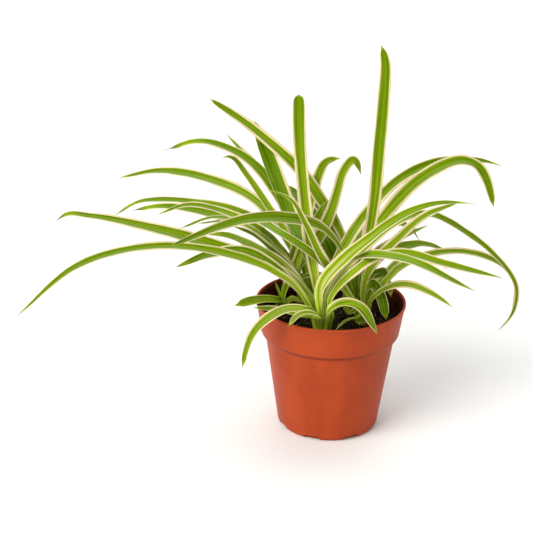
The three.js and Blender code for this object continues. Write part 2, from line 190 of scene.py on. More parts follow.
class CrownSettings(bpy.types.PropertyGroup):
    """The stem bases that the leaves rise from."""

    slimness: FloatProperty(
        name="Slimness", description="Stem radius as a share of its planting hole",
        default=0.42, min=0.2, max=1, subtype="FACTOR",
    )
    scales: IntProperty(
        name="Dry scales", description="Papery scales round a stem",
        default=3, min=0, max=12,
    )
    stem: FloatVectorProperty(
        name="Stem", description="Colour of the fleshy stem",
        default=srgb(206, 216, 92), subtype="COLOR", min=0, max=1,
    )
    paper: FloatVectorProperty(
        name="Dry scale", description="Colour of a papery scale",
        default=srgb(150, 116, 70), subtype="COLOR", min=0, max=1,
    )


class LeafSettings(bpy.types.PropertyGroup):
    """The blades: thickness, gathering at the crown, and colours."""

    thickness: FloatProperty(
        name="Thickness", description="Thickness along the middle",
        default=0.6 * MM, unit="LENGTH", precision=5,
    )
    gather: FloatProperty(
        name="Gather", description="How far the bases draw in to the crown's axis",
        default=0.5, min=0, max=0.9, subtype="FACTOR",
    )
    edge_wave: FloatProperty(
        name="Edge wave", description="Height of the waves along the edges",
        default=0.35 * MM, unit="LENGTH", precision=5,
    )
    green: FloatVectorProperty(
        name="Green", description="Colour of the open blade",
        default=srgb(108, 138, 0), subtype="COLOR", min=0, max=1,
    )
    deep: FloatVectorProperty(
        name="Deep green", description="Colour of the darkest streaks",
        default=srgb(66, 104, 0), subtype="COLOR", min=0, max=1,
    )
    # A lighter green for the light streaks, and also a painted sheen along the channel.
    sheen: FloatVectorProperty(
        name="Channel", description="Lighter green along the channel",
        default=srgb(138, 162, 20), subtype="COLOR", min=0, max=1,
    )
    # Painted sheen: the sky's reflection on the parts of a blade that face up.
    sky_sheen: FloatVectorProperty(
        name="Sky sheen", description="Greyer green where a blade faces up",
        default=srgb(112, 146, 74), subtype="COLOR", min=0, max=1,
    )
    cream: FloatVectorProperty(
        name="Cream", description="Colour of the margins",
        default=srgb(222, 204, 164), subtype="COLOR", min=0, max=1,
    )
    pale: FloatVectorProperty(
        name="Pale base", description="Colour towards the crown",
        default=srgb(194, 218, 44), subtype="COLOR", min=0, max=1,
    )
    olive: FloatVectorProperty(
        name="Underside", description="Tint of the underside",
        default=srgb(112, 142, 40), subtype="COLOR", min=0, max=1,
    )
    dry: FloatVectorProperty(
        name="Dry tip", description="Colour of a dried tip",
        default=srgb(124, 108, 66), subtype="COLOR", min=0, max=1,
    )
    roughness: FloatProperty(
        name="Roughness", description="Gloss of the upper face",
        default=0.4, min=0, max=1, subtype="FACTOR",
    )


class StageSettings(bpy.types.PropertyGroup):
    """Floor, lights and camera."""

    floor: FloatProperty(
        name="Floor", description="Radius of the floor",
        default=9.0, unit="LENGTH",
    )
    floor_colour: FloatVectorProperty(
        name="Floor colour", description="Pale floor",
        default=(0.9, 0.9, 0.89), subtype="COLOR", min=0, max=1,
    )
    ambient: FloatProperty(
        name="Ambient", description="Light from all round",
        default=0.44, min=0, max=5,
    )
    key: FloatProperty(
        name="Key light", description="Strength of the light at the left",
        default=2.6, min=0,
    )
    fill: FloatProperty(
        name="Fill light", description="Strength of the light in front",
        default=0.6, min=0,
    )
    top: FloatProperty(
        name="Top light", description="Strength of the light overhead",
        default=1.2, min=0,
    )
    distance: FloatProperty(
        name="Distance", description="Camera to its aim",
        default=0.9, unit="LENGTH",
    )
    pitch: FloatProperty(
        name="Pitch", description="How far the camera looks down",
        default=math.radians(21.81), subtype="ANGLE",
    )
    roll: FloatProperty(
        name="Roll", description="Camera roll",
        default=math.radians(0.65), subtype="ANGLE",
    )
    lens: FloatProperty(
        name="Lens", description="Focal length",
        default=87.44, min=1, unit="CAMERA",
    )
    aim: FloatVectorProperty(
        name="Aim", description="Point that the camera looks at",
        default=(-0.0454, 0, 0.1176), subtype="TRANSLATION",
    )


# ---- Mesh tools ----
ARC_STEPS = 5  # stretches round a rounded corner


def smooth(x):
    """Goes gently from 0 to 1 as x does."""
    x = np.clip(x, 0, 1)
    return x * x * (3 - 2 * x)


def spline(knots, values, at):
    """Reads, at other places, the natural cubic spline through values at knots."""
    steps = np.diff(knots)
    count = len(knots)
    system = np.eye(count)
    right = np.zeros_like(values)
    for i in range(1, count - 1):
        before, after = steps[i - 1], steps[i]
        system[i, i - 1 : i + 2] = before, 2 * (before + after), after
        right[i] = 6 * ((values[i + 1] - values[i]) / after - (values[i] - values[i - 1]) / before)
    bends = np.linalg.solve(system, right)
    k = np.clip(np.searchsorted(knots, at) - 1, 0, count - 2)
    step = steps[k]
    far = (at - knots[k]) / step
    if values.ndim > 1:
        step, far = step[:, None], far[:, None]
    near = 1 - far
    curve = ((near**3 - near) * bends[k] + (far**3 - far) * bends[k + 1]) * step**2 / 6
    return near * values[k] + far * values[k + 1] + curve


def unit(vectors):
    """The vectors, each made 1 long."""
    return vectors / np.linalg.norm(vectors, axis=-1, keepdims=True)


def rounded(corners):
    """Corners of (radius, height, round) as a line of (radius, height) with each corner rounded."""
    line = [Vector(corners[0][:2])]
    for (x0, y0, _), (x, y, round_), (x1, y1, _) in zip(corners, corners[1:], corners[2:]):
        corner = Vector((x, y))
        before = (Vector((x0, y0)) - corner).normalized() * round_
        after = (Vector((x1, y1)) - corner).normalized() * round_
        if round_ == 0:
            line.append(corner)
            continue
        for k in range(ARC_STEPS + 1):
            t = k / ARC_STEPS
            line.append(corner + before * (1 - t) ** 2 + after * t**2)
    line.append(Vector(corners[-1][:2]))
    return line


def divided(line, longest):
    """The same line with points added, so that no stretch is longer than that."""
    points = [line[0]]
    for a, b in zip(line, line[1:]):
        parts = max(1, math.ceil((b - a).length / longest))
        points += [a.lerp(b, k / parts) for k in range(1, parts + 1)]
    return points


class Surface:
    """Collects shells, each with a value for every point, into one mesh."""

    def __init__(self):
        self.points = []
        self.faces = []
        self.grain = []

    def add(self, points, faces, grain):
        """Adds a shell, with that value for all its points."""
        first = len(self.points)
        self.points += [tuple(p) for p in points]
        self.faces += [[first + i for i in face] for face in faces]
        self.grain += [grain] * len(points)

    def piece(self, name, material):
        """The finished piece, smooth shaded, with the values in the attribute named grain."""
        mesh = bpy.data.meshes.new(name)
        mesh.from_pydata(self.points, [], self.faces)
        mesh.attributes.new("grain", "FLOAT", "POINT").data.foreach_set("value", self.grain)
        return placed(name, mesh, material)


def placed(name, mesh, material):
    """A smooth-shaded object of the mesh and material, in the scene."""
    mesh.materials.append(material)
    mesh.shade_smooth()
    piece = bpy.data.objects.new(name, mesh)
    bpy.context.scene.collection.objects.link(piece)
    return piece


def turned(profile, columns, shape):
    """Points and faces of a closed turned body. shape moves a point given its column's angle."""
    points = [shape(Vector((0, 0, profile[0].y)), 0)]
    faces = []
    for r, z in profile[1:-1]:
        for i in range(columns):
            angle = math.tau * i / columns
            points.append(shape(Vector((r * math.cos(angle), r * math.sin(angle), z)), angle))
    points.append(shape(Vector((0, 0, profile[-1].y)), 0))
    rows = len(profile) - 2
    for i in range(columns):
        after = (i + 1) % columns
        faces.append((0, 1 + after, 1 + i))
        for j in range(rows - 1):
            a, b = 1 + j * columns, 1 + (j + 1) * columns
            faces.append((a + i, a + after, b + after, b + i))
        last = 1 + (rows - 1) * columns
        faces.append((last + i, last + after, len(points) - 1))
    return points, faces


# ---- Materials ----
def shaded(colour, share):
    """The colour with its light scaled by that share."""
    return tuple(min(1, value * share) for value in colour[:3])


def opaque(colour):
    """A fixed colour with its alpha, or the node's output as it is."""
    return colour if isinstance(colour, bpy.types.NodeSocket) else (*colour[:3], 1)


class Finish:
    """A material whose nodes are added and linked one call at a time."""

    def __init__(self, name):
        self.material = bpy.data.materials.new(name)
        self.material.use_nodes = True
        self.nodes = self.material.node_tree.nodes
        self.links = self.material.node_tree.links
        self.shader = self.nodes["Principled BSDF"]

    def fill(self, node, inputs):
        """Links or sets each input of the node."""
        for key, value in inputs.items():
            if isinstance(value, bpy.types.NodeSocket):
                self.links.new(value, node.inputs[key])
            else:
                node.inputs[key].default_value = value

    def add(self, kind, inputs, output=0, **settings):
        """Adds a node, sets it up and gives one of its outputs."""
        node = self.nodes.new("ShaderNode" + kind)
        for key, value in settings.items():
            setattr(node, key, value)
        self.fill(node, inputs)
        return node.outputs[output]

    def math(self, operation, *values, clamp=False):
        """The operation's result. clamp keeps it from 0 to 1."""
        return self.add("Math", dict(enumerate(values)), operation=operation, use_clamp=clamp)

    def total(self, *values, clamp=False):
        """The sum of the values."""
        result = values[0]
        for value in values[1:]:
            result = self.math("ADD", result, value, clamp=clamp)
        return result

    def times(self, *values):
        """The product of the values."""
        result = values[0]
        for value in values[1:]:
            result = self.math("MULTIPLY", result, value)
        return result

    def rise(self, value, low, high):
        """Goes gently from 0 to 1 as value goes from low to high. low may be the higher one."""
        inputs = {"Value": value, "From Min": low, "From Max": high}
        return self.add("MapRange", inputs, interpolation_type="SMOOTHSTEP")

    def mix(self, share, a, b):
        """Colour a where share is 0 and colour b where it is 1."""
        inputs = {0: share, 6: opaque(a), 7: opaque(b)}
        return self.add("Mix", inputs, output=2, data_type="RGBA")

    def attribute(self, name, output="Fac"):
        """A value that the mesh holds for every point. The output Vector gives three numbers."""
        return self.add("Attribute", {}, output=output, attribute_name=name)

    def parts(self, vector):
        """The three numbers of a vector."""
        first = self.add("SeparateXYZ", {0: vector})
        return first.node.outputs[0], first.node.outputs[1], first.node.outputs[2]

    def vector(self, x, y, z):
        """A vector of the three numbers."""
        return self.add("CombineXYZ", {0: x, 1: y, 2: z})

    def noise(self, vector, scale, detail=3.0, roughness=0.55):
        """Smooth noise from 0 to 1, mostly near a half."""
        inputs = {"Vector": vector, "Scale": scale, "Detail": detail, "Roughness": roughness}
        return self.add("TexNoise", inputs)

    def bump(self, height, distance, strength=1.0):
        """A normal tilted as if the surface stood that distance higher where height is 1."""
        inputs = {"Height": height, "Distance": distance, "Strength": strength}
        return self.add("Bump", inputs)

    def finish(self, colour, roughness, normal=None, **fixed):
        """Links the three to the shader and sets its fixed values."""
        self.fill(self.shader, {"Base Color": colour, "Roughness": roughness})
        if normal is not None:
            self.fill(self.shader, {"Normal": normal})
        self.fill(self.shader, {key.replace("_", " "): value for key, value in fixed.items()})
        return self.material


# Heights on the pot and over the soil, where its finish changes.
FOOT_RUBBED = (12 * MM, 2 * MM)  # from untouched to rubbed, going down
LIP_RUBBED = (POT_HIGH.z - 2.2 * MM, POT_HIGH.z - 0.2 * MM)
SHADE_DEEPENS_OVER_SOIL = 18 * MM  # how far over the soil the painted shade and soil stains on the inner wall deepen
SHADE_EDGE_WANDER = 16 * MM
GRIT_BELOW_LIP = (3 * MM, 9 * MM)
SHADE_AND_STAIN_BROWN = srgb(44, 16, 8)
GRIT_BROWN = srgb(120, 90, 52)


def pot_plastic(settings, inside):
    """Satin terracotta plastic with flow marks and scuffs. Inside, painted shade and soil stains darken
    it, most near the soil.
    """
    f = Finish("pot_inside" if inside else "pot_outside")
    place = f.add("TexCoord", {}, output="Object")
    x, y, z = f.parts(place)
    cloud = f.noise(place, 26.0, 4.0)
    flow = f.noise(f.vector(f.times(x, 90.0), f.times(y, 90.0), f.times(z, 9.0)), 1.0, 3.0)
    tone = f.total(f.times(cloud, 0.6), f.times(flow, 0.4))
    plastic = settings.plastic
    colour = f.mix(f.rise(tone, 0.35, 0.68), shaded(plastic, 0.86), shaded(plastic, 1.1))
    # Rubbed rings near the lip and the foot.
    rings = f.vector(f.times(x, 60.0), f.times(y, 60.0), f.times(z, 900.0))
    rubs = f.noise(rings, 1.0, 5.0, 0.7)
    foot = f.rise(z, *FOOT_RUBBED)
    lip = f.rise(z, *LIP_RUBBED)
    exposed = f.total(0.14, f.times(foot, 0.5), f.times(lip, 0.6))
    rubbed = f.times(f.rise(rubs, 0.52, 0.74), exposed)
    colour = f.mix(rubbed, colour, settings.scuff)
    # A darker line of painted shade on the sloping step under the band, where it faces down, and a few
    # dark specks.
    corner_top = POT_HIGH.z - settings.rim_band
    corner_foot = corner_top - settings.step
    step_shade_low = f.rise(z, corner_foot - 0.3 * MM, corner_foot + 0.5 * MM)
    step_shade_high = f.rise(z, corner_top + 0.9 * MM, corner_top - 0.1 * MM)
    colour = f.mix(f.times(step_shade_low, step_shade_high, 0.6), colour, shaded(plastic, 0.42))
    specks = f.rise(f.noise(place, 900.0, 1.0), 0.70, 0.78)
    colour = f.mix(f.times(specks, 0.22), colour, shaded(plastic, 0.5))
    roughness = f.total(settings.roughness - 0.07, f.times(flow, 0.16), f.times(rubbed, 0.3))
    if inside:
        # Painted shade of the pot's inside, with soil stains: dark brown over most of the wall, near
        # black close to the soil, with a ragged upper edge.
        ragged_height = f.total(z, f.times(f.noise(place, 160.0, 4.0), SHADE_EDGE_WANDER))
        deeper_near_soil = f.rise(ragged_height, SOIL_HIGH.z + SHADE_DEEPENS_OVER_SOIL, SOIL_HIGH.z)
        shade_and_stain = f.total(0.8, f.times(deeper_near_soil, 0.6))
        under_lip = f.total(1.0, f.times(lip, -1.0), clamp=True)
        colour = f.mix(f.times(shade_and_stain, under_lip), colour, SHADE_AND_STAIN_BROWN)
        grains = f.rise(f.noise(place, 560.0, 3.0, 0.7), 0.55, 0.64)
        low_enough = f.rise(z, *(POT_HIGH.z - below for below in GRIT_BELOW_LIP))
        colour = f.mix(f.times(grains, low_enough, 0.7), colour, GRIT_BROWN)
        roughness = f.total(roughness, f.times(shade_and_stain, 0.25))
    texture = f.noise(place, 1500.0, 2.0)
    height = f.total(f.times(texture, 0.25), f.times(rubs, 0.35), f.times(cloud, 0.4))
    normal = f.bump(height, 0.18 * MM, 0.5)
    warm = (1.0, 0.85, 0.75, 1.0)
    return f.finish(colour, roughness, normal, Specular_IOR_Level=0.11, Specular_Tint=warm)


def potting_mix(settings):
    """Moist peat with bark, moss and perlite, chosen by each crumb's grain value."""
    f = Finish("potting_mix")
    place = f.add("TexCoord", {}, output="Object")
    fine = f.noise(place, 1400.0, 4.0, 0.7)
    coarse = f.noise(place, 260.0, 4.0)
    peat = settings.peat
    colour = f.mix(f.rise(fine, 0.36, 0.66), shaded(peat, 0.35), shaded(peat, 1.5))
    mossy = f.times(f.rise(coarse, 0.56, 0.72), 0.6)
    colour = f.mix(mossy, colour, shaded(settings.moss, 0.9))
    flecks = f.rise(f.noise(place, 700.0, 2.0), 0.66, 0.74)
    colour = f.mix(f.times(flecks, 0.5), colour, settings.bark)
    # Grain values over each threshold are moss, then bark, then perlite, at that strength.
    grain = f.attribute("grain")
    kinds = (
        (0.62, 0.70, settings.moss, 0.6),
        (0.78, 0.80, settings.bark, 0.75),
        (0.968, 0.97, settings.perlite, 0.9),
    )
    for low, high, shade, strength in kinds:
        varied = f.mix(fine, shaded(shade, 0.45), shaded(shade, 1.35))
        colour = f.mix(f.times(f.rise(grain, low, high), strength), colour, varied)
    roughness = f.total(0.62, f.times(coarse, 0.4))
    normal = f.bump(f.total(fine, coarse), 0.6 * MM)
    return f.finish(colour, roughness, normal, Specular_IOR_Level=0.1)


def stem_flesh(settings):
    """Fleshy stem base, ribbed and pale, browning where it meets the soil, with papery scales."""
    f = Finish("stem_flesh")
    place = f.add("TexCoord", {}, output="Object")
    x, y, z = f.parts(place)
    upright = f.vector(f.times(x, 1500.0), f.times(y, 1500.0), f.times(z, 60.0))
    ribs = f.noise(upright, 1.0, 3.0)
    cloud = f.noise(place, 240.0, 3.0)
    papery = f.attribute("grain")
    stem, paper = settings.stem, settings.paper
    colour = f.mix(f.rise(ribs, 0.35, 0.65), shaded(stem, 0.72), shaded(stem, 1.2))
    wavy_height = f.total(z, f.times(cloud, -4 * MM))
    stained = f.rise(wavy_height, SOIL_HIGH.z + 1 * MM, SOIL_HIGH.z - 3 * MM)
    colour = f.mix(f.times(stained, 0.8), colour, shaded(paper, 0.25))
    colour = f.mix(papery, colour, f.mix(ribs, shaded(paper, 0.45), shaded(paper, 1.3)))
    roughness = f.total(0.4, f.times(cloud, 0.25), f.times(papery, 0.25))
    return f.finish(colour, roughness, f.bump(ribs, 0.3 * MM), Specular_IOR_Level=0.4)


# Grains of the blade: scale across it, scale per millimetre along it, detail and roughness.
STREAKS = (4.2, 0.012, 4.0, 0.65)
FINE_LINES = (22.0, 0.02, 3.0, 0.6)
CLOUDS = (1.2, 0.06, 3.0, 0.55)
BANDS = (2.6, 0.007, 3.0, 0.6)
FADES = (0.8, 0.045, 2.0, 0.55)
NICKS = (2.4, 0.35, 2.0, 0.55)
# Stretches of the blade, in millimetres from its base: where a change starts and is complete.
# Where the painted sky sheen comes in.
SKY_SHEEN_COMES = (40.0, 90.0)
STREAKY_PALE_COMES = (150.0, 60.0)
LIFTED_PALE_COMES = (150.0, 30.0)
LIT_PALEST_COMES = (44.0, 8.0)
RIBS_COME = (190.0, 40.0)
MARGIN_COMES = (20.0, 85.0)
CREAM_LINES_COME = (80.0, 14.0)
CREAM_PALES = (50.0, 8.0)
RIBS_ACROSS = 12.0  # radians of the stripes' wave for each half of the blade
VEINS_ACROSS = 58.0


class BladeFinish(Finish):
    """A leaf's material, made in turn from its greens, its cream parts and its dry parts.

    The attribute blade holds the place across, from -1 to 1, and the millimetres from the base
    and from the tip. pattern holds the leaf's seed, its margin's share there and its pale middle
    there, and tone how deep its green is, the length of its dry tip and 1 on the underside.
    """

    def __init__(self, settings):
        super().__init__("leaf_blade")
        self.settings = settings
        self.across, self.from_base, self.from_tip = self.parts(self.attribute("blade", "Vector"))
        seed, self.margin, self.stripe = self.parts(self.attribute("pattern", "Vector"))
        self.depth, self.dry_length, self.under = self.parts(self.attribute("tone", "Vector"))
        self.place = self.times(seed, 40.0)
        self.share = self.math("DIVIDE", self.from_base, self.total(self.from_base, self.from_tip))
        # Drift carries the whole pattern a little to one side and back along the leaf.
        drifting = self.vector(self.times(self.from_base, 0.03), self.place, 0.0)
        self.drift = self.noise(drifting, 1.0, 2.0)
        self.streaks = self.lengthwise(*STREAKS)
        self.streaked = self.rise(self.streaks, 0.42, 0.56)
        self.fine = self.lengthwise(*FINE_LINES)
        self.cloud = self.lengthwise(*CLOUDS)
        self.off_middle = self.math("ABSOLUTE", self.drifted(0.3))

    def lengthwise(self, across, along, detail, roughness, shift=0.0):
        """Noise of that grain, drawn out along the leaf. shift gives another pattern of it."""
        place = self.total(self.place, shift)
        drawn = self.vector(self.times(self.across, across), self.times(self.from_base, along), place)
        return self.noise(drawn, 1.0, detail, roughness)

    def drifted(self, reach):
        """The place across, moved to either side by the drift."""
        return self.total(self.across, self.times(self.total(self.drift, -0.5), reach))

    def streaky_green(self):
        """Lengthwise bands of two greens, with fine light and dark lines."""
        settings = self.settings
        bands = self.lengthwise(*BANDS)
        beside_margins = self.rise(self.off_middle, 0.1, 0.8)
        deepness = self.total(
            bands,
            self.times(self.depth, 0.32),
            self.times(beside_margins, 0.08),
            self.times(self.cloud, 0.12),
            -0.27,
        )
        colour = self.mix(self.rise(deepness, 0.34, 0.66), settings.green, settings.deep)
        light_streaks = self.rise(self.streaks, 0.48, 0.62)
        colour = self.mix(self.times(light_streaks, 0.5), colour, settings.sheen)
        dark_lines = self.rise(self.fine, 0.52, 0.36)
        colour = self.mix(self.times(dark_lines, 0.4), colour, shaded(settings.deep, 0.75))
        light_lines = self.rise(self.fine, 0.54, 0.7)
        colour = self.mix(self.times(light_lines, 0.3), colour, shaded(settings.sheen, 1.15))
        # Where the blade faces up, away from its base, a greyer green is painted as the sheen of the
        # sky's reflection.
        _, _, skyward = self.parts(self.add("NewGeometry", {}, output="Normal"))
        sky_sheen_share = self.times(self.rise(skyward, 0.6, 0.97), self.rise(self.from_base, *SKY_SHEEN_COMES))
        colour = self.mix(self.times(sky_sheen_share, 0.75), colour, settings.sky_sheen)
        # The channel is lighter: partly a lighter green, more so in a leaf with a pale middle, and
        # partly a painted sheen of its gloss.
        channel = self.total(0.3, self.stripe, self.times(self.depth, -0.3))
        channel = self.times(self.rise(self.off_middle, 0.5, 0.0), channel)
        colour = self.mix(channel, colour, settings.sheen)
        return self.ribbed(self.pale_base(colour, bands))

    def pale_base(self, colour, bands):
        """Pale yellow green towards the crown, streaked at first and then all over. Nearest the crown it
        is lighter still, as painted light that lifts the shade there.
        """
        pale = self.settings.pale
        wavy = self.total(self.from_base, self.times(bands, 60.0), self.times(self.share, 90.0))
        streaky = self.total(0.35, self.times(self.streaked, 0.65))
        paling = self.total(1.0, self.times(self.depth, -0.8))
        streaky = self.times(self.rise(wavy, *STREAKY_PALE_COMES), paling, streaky)
        colour = self.mix(streaky, colour, pale)
        # Painted light along with the real pale green: an even lightening towards the crown, less of it
        # in a deep green leaf.
        paling = self.total(0.35, self.times(self.depth, -0.3))
        even = self.times(self.rise(self.from_base, *LIFTED_PALE_COMES), paling)
        colour = self.mix(even, colour, pale)
        # Painted light: a lit, brighter copy of the pale green at the very base.
        lit_palest = self.times(self.rise(self.from_base, *LIT_PALEST_COMES), 0.8)
        return self.mix(lit_palest, colour, shaded(pale, 1.3))

    def ribbed(self, colour):
        """Three or four lengthwise stripes, dark and light by turns, strongest near the base."""
        wave = self.total(self.times(self.across, RIBS_ACROSS), self.times(self.drift, 5.0), self.place)
        ribs = self.math("SINE", wave)
        strong = self.rise(self.from_base, *RIBS_COME)
        dark = self.times(self.rise(ribs, 0.0, 0.9), self.total(0.12, self.times(strong, 0.33)))
        colour = self.mix(dark, colour, self.settings.deep)
        light = self.times(self.rise(ribs, -0.2, -0.95), self.total(0.12, self.times(strong, 0.2)))
        return self.mix(light, colour, self.settings.sheen)

    def cream_share(self):
        """Where it is cream: margins that come and go, a pale middle and lines near the base."""
        inset = self.total(1.0, self.times(self.math("ABSOLUTE", self.drifted(0.08)), -1.0))
        ragged = self.times(self.total(self.fine, -0.5), 0.08)
        rim = self.rise(self.total(inset, ragged, self.times(self.margin, -1.0)), 0.07, -0.05)
        fading = self.rise(self.lengthwise(*FADES, shift=9.0), 0.3, 0.5)
        fading = self.total(0.78, self.times(fading, 0.22))
        away = self.total(self.from_base, self.times(self.share, 70.0))
        coming = self.total(0.12, self.times(self.rise(away, *MARGIN_COMES), 0.88))
        rim = self.times(rim, fading, coming)
        off_middle = self.times(self.off_middle, -1.2)
        middle = self.total(self.stripe, self.times(self.streaked, 0.2), off_middle)
        middle = self.times(self.rise(middle, 0.3, 0.75), 0.72)
        near_base = self.rise(self.from_base, *CREAM_LINES_COME)
        lines = self.times(self.rise(self.streaks, 0.54, 0.66), near_base, 0.7)
        return self.math("MAXIMUM", self.math("MAXIMUM", rim, middle), lines)

    def cream_colour(self):
        """Cream that turns to pale yellow green at the very base, brightened there as painted light
        against the shade round the crown.
        """
        cream, pale = self.settings.cream, self.settings.pale
        grain = self.total(self.times(self.fine, 0.8), self.times(self.cloud, 0.3))
        colour = self.mix(grain, shaded(cream, 0.75), shaded(cream, 1.15))
        # Partly painted light: the pale green here is a lit, brighter copy.
        paling = self.times(self.rise(self.from_base, *CREAM_PALES), 0.7)
        return self.mix(paling, colour, shaded(pale, 1.3))

    def dried(self, colour):
        """The colour with its dry tip and small brown nicks, and how dry it is."""
        settings = self.settings
        long, short = self.times(self.dry_length, 2.2), self.times(self.dry_length, 0.8)
        yellowing = self.times(self.rise(self.from_tip, long, short), 0.35)
        colour = self.mix(yellowing, colour, settings.pale)
        ragged = self.total(self.from_tip, self.times(self.streaks, 5.0), -2.5)
        dryness = self.rise(ragged, self.dry_length, self.times(self.dry_length, 0.35))
        dry = self.mix(self.streaks, shaded(settings.dry, 0.5), shaded(settings.dry, 1.35))
        colour = self.mix(self.times(dryness, 0.92), colour, dry)
        nicks = self.rise(self.lengthwise(*NICKS), 0.76, 0.82)
        return self.mix(self.times(nicks, 0.55), colour, settings.dry), dryness

    def veined(self):
        """The surface's normal, raised in fine parallel veins."""
        wave = self.times(self.total(self.across, self.times(self.drift, 0.02)), VEINS_ACROSS)
        veins = self.times(self.math("SINE", wave), 0.3)
        height = self.total(veins, self.times(self.streaks, 0.9), self.times(self.fine, 0.6))
        return self.bump(height, 0.2 * MM, 0.6)


def leaf_blade(settings):
    """Green blade with cream margins, lengthwise streaks and veins, a pale base and a dry tip."""
    f = BladeFinish(settings)
    green = f.mix(f.times(f.under, 0.3), f.streaky_green(), settings.olive)
    colour, dryness = f.dried(f.mix(f.cream_share(), green, f.cream_colour()))
    roughness = f.total(
        settings.roughness - 0.06, f.times(f.fine, 0.16), f.times(f.under, 0.14), f.times(dryness, 0.3)
    )
    return f.finish(
        colour,
        roughness,
        f.veined(),
        Specular_IOR_Level=0.14,
        Specular_Tint=(0.85, 1.0, 0.2, 1.0),
        Subsurface_Weight=0.35,
        Subsurface_Scale=0.9 * MM,
        Subsurface_Radius=(0.9, 1.0, 0.15),
    )


def plain_floor(settings):
    """Pale matt floor with the faintest mottling."""
    f = Finish("plain_floor")
    place = f.add("TexCoord", {}, output="Object")
    tone = f.noise(place, 3.0, 2.0)
    colour = f.mix(tone, shaded(settings.floor_colour, 0.985), settings.floor_colour)
    return f.finish(colour, 0.7, Specular_IOR_Level=0.1)


# ---- Pot ----
POT_COLUMNS_SLOT = 12
POT_COLUMNS_WALL = 18
FOOT_LEDGE = 6.4 * MM  # where the foot's own mould part meets the wall
LEDGE_OUT = 0.16 * MM
LIP_BEAD = 2.2 * MM  # height of the bead round the lip
BEAD_OUT = 0.3 * MM
LONGEST_STRETCH = 3.2 * MM  # between two rows of the wall
SWAY = 0.004  # share by which the lip is out of round
SOFT_EDGE = 0.45 * MM


def pot_profile(settings):
    """The pot's outside from the middle of the floor to the lip."""
    height, lip = POT_HIGH.z, POT_HIGH.x
    rim_foot = height - settings.rim_band
    step_foot = rim_foot - settings.step
    slope = (settings.wall_top - settings.base) / (step_foot - settings.base_round)
    ledge = settings.base + slope * (FOOT_LEDGE - settings.base_round)
    bead = lip - BEAD_OUT - (lip - settings.rim_foot) * LIP_BEAD / settings.rim_band
    corners = [
        (0, 0, 0),
        (settings.base, 0, settings.base_round),
        (ledge, FOOT_LEDGE, 0.15 * MM),
        (ledge + LEDGE_OUT, FOOT_LEDGE + 0.5 * MM, 0.15 * MM),
        (settings.wall_top, step_foot, 0.5 * MM),
        (settings.rim_foot, rim_foot, 0.8 * MM),
        (bead, height - LIP_BEAD, 0.3 * MM),
        (lip, height - LIP_BEAD + 0.7 * MM, 0.4 * MM),
        (lip, height, 0),
    ]
    return divided(rounded(corners), LONGEST_STRETCH)


def pot_columns(radius, settings):
    """Angles of the columns at that radius. The slots' sides stay parallel."""
    reach = min(max(radius, settings.base - settings.drain_depth), settings.base)
    half = math.asin(settings.drain_width / 2 / reach)
    sector = math.tau / settings.drains
    angles = []
    for drain in range(settings.drains):
        middle = settings.drain_first + drain * sector
        for k in range(POT_COLUMNS_SLOT):
            angles.append(middle - half + 2 * half * k / POT_COLUMNS_SLOT)
        for k in range(POT_COLUMNS_WALL):
            angles.append(middle + half + (sector - 2 * half) * k / POT_COLUMNS_WALL)
    return angles


def mould_pot(settings):
    """A thin shell with open slots, given its wall by Solidify and its soft edges by Bevel."""
    profile = pot_profile(settings)
    slot_start = settings.base - settings.drain_depth
    slot_rows = [j for j, (r, z) in enumerate(profile) if z <= settings.drain_height and r >= slot_start]
    low, high = slot_rows[0], slot_rows[-1]
    columns = len(pot_columns(settings.base, settings))
    per_sector = POT_COLUMNS_SLOT + POT_COLUMNS_WALL
    shell = bmesh.new()
    middle = shell.verts.new((0, 0, 0))
    rows = []
    for r, z in profile[1:]:
        row = []
        for angle in pot_columns(r, settings):
            out = r * (1 + SWAY * (z / POT_HIGH.z) ** 2 * math.cos(2 * angle + 1.1))
            row.append(shell.verts.new((out * math.cos(angle), out * math.sin(angle), z)))
        rows.append(row)
    rows.insert(0, None)
    for i in range(columns):
        after = (i + 1) % columns
        shell.faces.new((middle, rows[1][after], rows[1][i]))
        for j in range(1, len(rows) - 1):
            a, b, c, d = rows[j][i], rows[j][after], rows[j + 1][after], rows[j + 1][i]
            column = i % per_sector
            # A slot is left open. Triangles cut its four corners.
            if low <= j < high and column < POT_COLUMNS_SLOT:
                first, last = column == 0, column == POT_COLUMNS_SLOT - 1
                if j == low and (first or last):
                    shell.faces.new((a, b, d) if first else (a, b, c))
                elif j == high - 1 and (first or last):
                    shell.faces.new((a, c, d) if first else (b, c, d))
                continue
            shell.faces.new((a, b, c, d))
    bmesh.ops.recalc_face_normals(shell, faces=shell.faces)
    mesh = bpy.data.meshes.new("nursery_pot")
    shell.to_mesh(mesh)
    shell.free()
    pot = placed("nursery_pot", mesh, pot_plastic(settings, inside=False))
    pot.data.materials.append(pot_plastic(settings, inside=True))
    wall = pot.modifiers.new("Wall", "SOLIDIFY")
    wall.thickness = settings.wall
    wall.offset = -1
    wall.material_offset = 1
    edges = pot.modifiers.new("Soft edges", "BEVEL")
    edges.width = SOFT_EDGE
    edges.segments = 3
    edges.limit_method = "ANGLE"
    edges.angle_limit = math.radians(50)
    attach(pot, BODY)
    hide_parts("pot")


# ---- Soil ----
SOIL_COLUMNS = 200
SOIL_GAP = 0.4 * MM  # between the soil's side and the pot's wall
SOIL_EDGE_DROP = 2.6 * MM  # how much lower the soil lies at the wall
SOIL_ROW = 1.0 * MM
SOIL_SEED = 11
LUMPS = ((95, 0.9), (260, 0.6), (700, 0.35))  # how many a metre, and how high beside each other
CRUMB = (0.35 * MM, 1.0 * MM)  # smallest and largest
BIG_CRUMB = 2.2  # how many times that a big crumb is
BIG_SHARE = 0.12  # of the crumbs are big
FIBRE_STEP = 1.1 * MM
FIBRE = (0.12 * MM, 0.26 * MM)  # thinnest and thickest
